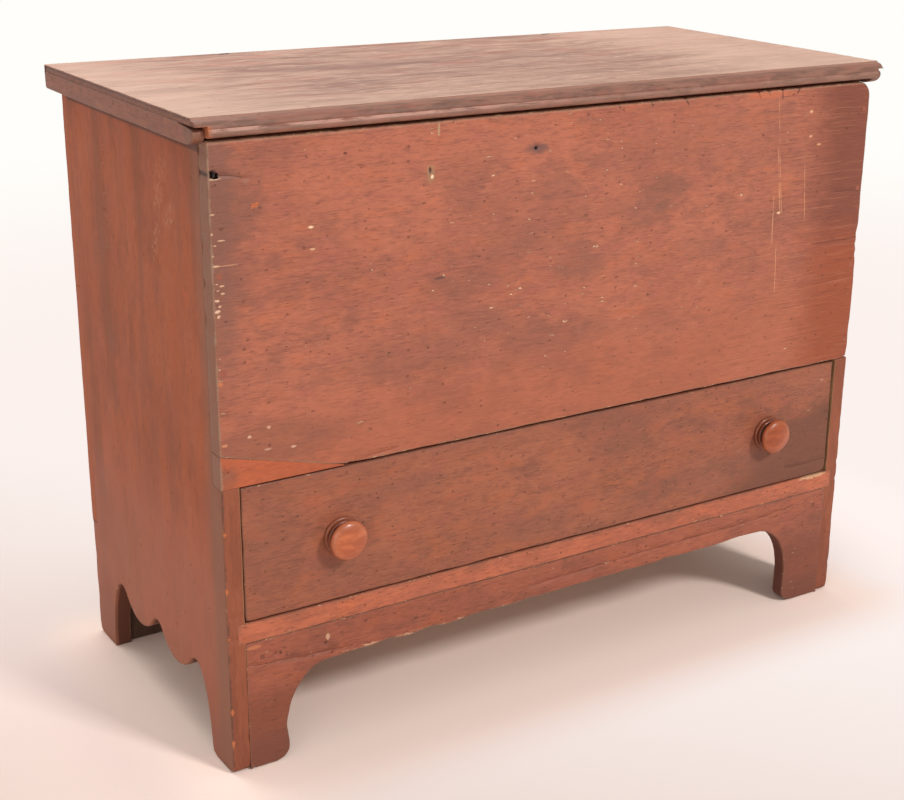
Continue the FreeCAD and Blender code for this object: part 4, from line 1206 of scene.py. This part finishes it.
def make_lid():
    """The section runs level along the top to a small step, down an elliptical bevel to a quirk
    and a half-round bead, then level along the underside to the back, where both arrises are
    quarter circles. It is carried along X and closed by a cap at each end."""
    front, under = LID_LOW[1:]
    back, top = LID_HIGH[1:]
    bevel_y = front + LID_BEVEL_SETBACK
    bevel_low = top - LID_BEVEL[1]
    bead_top = bevel_low - QUIRK[1]
    bead = (bead_top - under) / 2
    step_y = BEVEL_BACK - 2.4
    bevel_end = step_y - 0.6
    rounding = (BACK_ROUND, BACK_ROUND)
    across = stretch((back - BACK_ROUND, top), (BEVEL_BACK + 0.4, top), 5)
    section = np.concatenate([
        across,
        stretch((BEVEL_BACK + 0.4, top - 0.1), (BEVEL_BACK - 0.4, top - 0.9), 0.5),
        stretch((BEVEL_BACK - 0.4, top - 0.9), (step_y, top - 1.7), 0.8),
        bow((bevel_end, bevel_low), (bevel_end - bevel_y, LID_BEVEL[1] - 2.6), 84, 180, 0.9),
        stretch((bevel_y, bevel_low), (bevel_y + QUIRK[0], bead_top), 0.7),
        bow((front + bead, under + bead), (bead, bead), 118, 268, 1.2),
        stretch((front + bead + 0.4, under), (back - BACK_ROUND, under), 12),
        bow((back - BACK_ROUND, under + BACK_ROUND), rounding, 270, 360, 0.6),
        stretch((back, under + BACK_ROUND), (back, top - BACK_ROUND), 3),
        bow((back - BACK_ROUND, top - BACK_ROUND), rounding, 0, 90, 0.6)])
    start = low("lid_batten_right")[0]
    step = np.array([-0.01, 0.01])
    ends = np.array([0, 0.25, 0.7, 1.3, 2.2, 3.6, 5.4, 7.4])
    wide = np.arange(LID_LOW[0] + 10, LID_HIGH[0] - 9, 6)
    wide = wide[abs(abs(wide) - start) > 1]
    stations = np.sort(np.concatenate([
        LID_LOW[0] + ends, wide, LID_HIGH[0] - ends, start + step, -start + step]))
    tongue = (start, BATTEN_TOP + 0.02, bevel_y + 1)
    points, edge = carried(section, stations, len(across), tongue, 101)
    count = len(section)
    cap = triangulated(section, [(n, (n + 1) % count) for n in range(count)])[1]
    far_end = (len(stations) - 1) * count
    faces = tube(len(stations), count) + cap + [tuple(far_end + n for n in reversed(f)) for f in cap]
    make_piece("old_lid", points, faces, "lid", lid_finish("lid_worn_paint", 151),
               "lid_board", edge)


def make_battens():
    """A long bar whose top has split from the lid and falls away from it to a round nose, with
    a quarter ellipse under the nose and a quarter circle at the back."""
    for side, seed in (("left", 111), ("right", 121)):
        node = "lid_batten_" + side
        lo, hi = low(node), high(node)
        front, back, under, top = lo[1] + NOSE_SETBACK, hi[1], lo[2], hi[2]
        outline = np.concatenate([
            path((front + CRACK_LENGTH, top), (front + NOSE_ROUND, top - CRACK_GAPE)),
            bow((front + NOSE_ROUND, top - CRACK_GAPE - NOSE_ROUND), (NOSE_ROUND, NOSE_ROUND), 90, 180, 0.9),
            bow((front + NOSE[0], under + NOSE[1]), NOSE, 180, 270, 1.5),
            path((front + NOSE[0], under), (back - 4, under), step=4),
            bow((back - 4, under + 4), (4, 4), 270, 360, 1),
            path((back, under + 4), (back, top)),
            path((back, top), (front + CRACK_LENGTH, top), step=4)])
        depth = (lo[0], hi[0]) if side == "left" else (hi[0], lo[0])
        arris = eased(lambda u, w: (w > top - 1) & (u > front + 20), 0.3, 1.6)
        plank("old_batten_" + side, outline, depth, "side", "lid",
              batten_finish(node + "_paint", 1.5 * seed), node, 8, arris, 0.3, warp=0.2, seed=seed)


# ---- Knobs ------------------------------------------------------------------

KNOB_TURNS = 96
KNOB_PROFILE = np.array([
    (-3, 10), (0.2, 10), (0.2, 22.6), (0.7, 23.5), (1.8, 23.95), (3, 23.7), (4, 22.7), (4.5, 21),
    (4.6, 19.4), (5, 18.6), (5.5, 18.8), (5.9, 20), (6.7, 21.1), (7.7, 21.45), (8.7, 21.1), (9.5, 20.2),
    (9.9, 18.8), (10.2, 17.6), (11.4, 17.3), (12.6, 17.9), (13.8, 19.2), (15, 21.2), (16, 22.9),
    (17, 24), (18.2, 24.45), (19.4, 24.4), (20.8, 23.9), (22.2, 22.9), (23.4, 21.4), (24.2, 19.9),
    (24.8, 18.6), (25.6, 16.6), (26.4, 13.8), (27.2, 10.4), (27.9, 7), (28.3, 3.5), (28.46, 1.2)])


def make_knobs():
    """The turned profile, its reach and radius in millimetres, spun round the Y axis."""
    face = low("drawer_front")[1]
    reach, radius = KNOB_PROFILE.T
    rows = len(reach)
    angle = np.arange(KNOB_TURNS) * 2 * math.pi / KNOB_TURNS
    ring = np.arange(KNOB_TURNS)
    onward = np.roll(ring, -1)
    last = (rows - 1) * KNOB_TURNS
    faces = tube(rows, KNOB_TURNS)
    faces += np.stack([onward, ring, 0 * ring + rows * KNOB_TURNS], 1).tolist()
    faces += np.stack([last + ring, last + onward, 0 * ring + rows * KNOB_TURNS + 1], 1).tolist()
    for index, side in enumerate(("left", "right")):
        node = "knob_" + side
        centre = (low(node)[0] + high(node)[0]) / 2
        uneven = 1 + 0.006 * np.sin(2 * angle + index) - 0.006
        x = centre + radius[:, None] * np.cos(angle)[None] * uneven
        z = KNOB_Z + radius[:, None] * np.sin(angle)[None] * uneven
        y = np.broadcast_to((face - reach)[:, None], x.shape)
        points = np.stack([x, y, z], 2).reshape(-1, 3)
        ends = np.array([[centre, face - reach[0], KNOB_Z], [centre, face - reach[-1], KNOB_Z]])
        make_piece("turned_knob_" + side, np.concatenate([points, ends]), faces, "drawer",
                   knob_finish(node + "_wood", 181 + 7 * index, centre, KNOB_TINTS[index]), node)


make_front_board()
make_patch()
make_sides()
make_skirts()
make_plain_boards()
make_drawer_front()
make_lid()
make_battens()
make_knobs()


# ---- CAD nodes that stay ----------------------------------------------------

KEPT_PINE = {
    "xyz": ("well_bottom", "drawer_bottom"),
    "xzy": ("drawer_back",),
    "yzx": ("drawer_side_left", "drawer_side_right", "drawer_runner_left", "drawer_runner_right"),
    "zxy": ("corner_block_front_left", "corner_block_front_right", "corner_block_back_left",
            "corner_block_back_right"),
}


def dress(node, finish):
    """Gives a node of the frame its finish, in every material slot it has."""
    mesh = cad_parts[node].data
    mesh.materials.clear()
    mesh.materials.append(finish)


def dress_kept_nodes():
    """Pine for the inner boards and blocks, iron or paint for the nails and the hinges."""
    seed = 200
    for grain, nodes in KEPT_PINE.items():
        for node in nodes:
            seed += 11
            # The corner blocks take the darkened pine: painted shade under the chest.
            tones = PINE_DARKENED_AS_SHADE if node.startswith("corner") else INNER_PINE
            dress(node, pine_finish(node + "_pine", grain, seed, tones))
    nail_coats = {
        "front_board_nails": front_nail_finish(),
        "front_skirt_nails": iron_finish("skirt_nails_paint", (128, 72, 54), (112, 64, 49)),
        "lid_batten_nails": iron_finish("batten_nails_paint", (130, 82, 65), (116, 76, 61)),
    }
    dark_iron = iron_finish("dark_iron", (62, 50, 46), (104, 66, 48), 0.3)
    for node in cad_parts:
        if node.endswith("_nails") or node.startswith("hinge_"):
            dress(node, nail_coats.get(node, dark_iron))


dress_kept_nodes()


# ---- Floor, backdrop and light ----------------------------------------------

# Painted bounce light: a warmer floor tone under and beside the chest stands for light thrown back from its
# red paint.
FLOOR_BOUNCE_TINT = (255, 231, 217)
SHADED_ROSE = (231, 209, 199)
PALE_ROSE = (252, 241, 237)
PAPER_WHITE = (255, 254, 250)
FLOOR_HALF = 14
WORLD_LEVEL = 0.54


def make_stage():
    """A pale floor, shaded near the chest, with a warm tint under and beside it that is painted bounce light
    from the chest. Its tone runs from a greyer rose on the left to pale rose on the right; farther off it is
    seen as this plain tone, and in the distance white."""
    mesh = bpy.data.meshes.new("pale_floor")
    corners = [(FLOOR_HALF * x, FLOOR_HALF * y, 0) for x, y in ((-1, -1), (1, -1), (1, 1), (-1, 1))]
    mesh.from_pydata(corners, [], [(0, 1, 2, 3)])
    floor = bpy.data.objects.new("pale_floor", mesh)
    bpy.context.scene.collection.objects.link(floor)
    f = Finish("floor_paper", "xyz")
    beside = (abs(f.x) - RIGHT).most(0)
    before = (abs(f.y) - (BACK - FRONT) / 2).most(0)
    clear = beside.math("SQRT", beside * beside + before * before)
    # Painted shade and light: the floor's tone darkens towards the left, where the chest's shadow falls, and
    # brightens in front; it colours both the lit floor and the plain tone the camera sees.
    in_front = f.ramp(f.y, -230, -290)
    slant = f.x * 0.8 + f.y * 0.6 + in_front * 150
    rose = f.blend(f.ramp(slant, -800, 400), SHADED_ROSE, PALE_ROSE)
    # Under and beside the chest the floor takes the warm tint, painted bounce light from the chest.
    paper = f.blend(f.ramp(clear * (1 - in_front * 0.55), 0, 110), FLOOR_BOUNCE_TINT, rose)
    f.tree.links.new(paper.socket, f.shader.inputs["Base Color"])
    f.shader.inputs["Roughness"].default_value = 0.9
    f.shader.inputs["Specular IOR Level"].default_value = 0.1
    seen, glossy, through = (
        f.node("LightPath", output="Is %s Ray" % ray) for ray in ("Camera", "Glossy", "Transmission"))
    shown = f.blend(f.ramp(clear, 1200, 3600), rose, PAPER_WHITE)
    plain = f.node("Emission", {"Color": shown, "Strength": 1})
    share = f.ramp(clear * (1 + in_front * 1.6), 70, 430) * seen.most(glossy).most(through)
    mixed = f.node("MixShader", {0: share, 1: Value(f, f.shader.outputs[0]), 2: plain})
    f.tree.links.new(mixed.socket, f.tree.nodes["Material Output"].inputs[0])
    mesh.materials.append(f.material)


def make_world():
    """Even soft light, seen by the camera and through glass as white."""
    world = bpy.data.worlds.new("studio")
    world.use_nodes = True
    tree = world.node_tree
    back = tree.nodes["Background"]
    back.inputs["Color"].default_value = (1, 1, 1, 1)
    back.inputs["Strength"].default_value = WORLD_LEVEL
    seen = tree.nodes.new("ShaderNodeLightPath")
    white = tree.nodes.new("ShaderNodeBackground")
    white.inputs["Color"].default_value = linear(PAPER_WHITE)
    white.inputs["Strength"].default_value = 1
    either = tree.nodes.new("ShaderNodeMath")
    either.operation = "MAXIMUM"
    tree.links.new(seen.outputs["Is Camera Ray"], either.inputs[0])
    tree.links.new(seen.outputs["Is Transmission Ray"], either.inputs[1])
    mixer = tree.nodes.new("ShaderNodeMixShader")
    tree.links.new(either.outputs[0], mixer.inputs[0])
    tree.links.new(back.outputs[0], mixer.inputs[1])
    tree.links.new(white.outputs[0], mixer.inputs[2])
    tree.links.new(mixer.outputs[0], tree.nodes["World Output"].inputs[0])
    bpy.context.scene.world = world


def make_lamp(name, place, target, size, watts):
    """A square soft lamp in metres, turned towards its target."""
    data = bpy.data.lights.new(name, "AREA")
    data.shape = "SQUARE"
    data.size = size
    data.energy = watts
    lamp = bpy.data.objects.new(name, data)
    lamp.location = place
    aim = Vector(target) - Vector(place)
    lamp.rotation_euler = aim.to_track_quat("-Z", "Y").to_euler()
    bpy.context.scene.collection.objects.link(lamp)


make_stage()
make_world()
make_lamp("key_softbox", (1.7, -5, 4.2), (0, 0, 0.4), 1, 238)
make_lamp("fill_softbox", (-3.4, -3.4, 1.5), (0, 0, 0.35), 2.4, 41)
make_lamp("top_softbox", (-0.4, 1.2, 3.2), (0, 0, 0.6), 2.2, 60)

bpy.context.scene.view_settings.view_transform = "Standard"
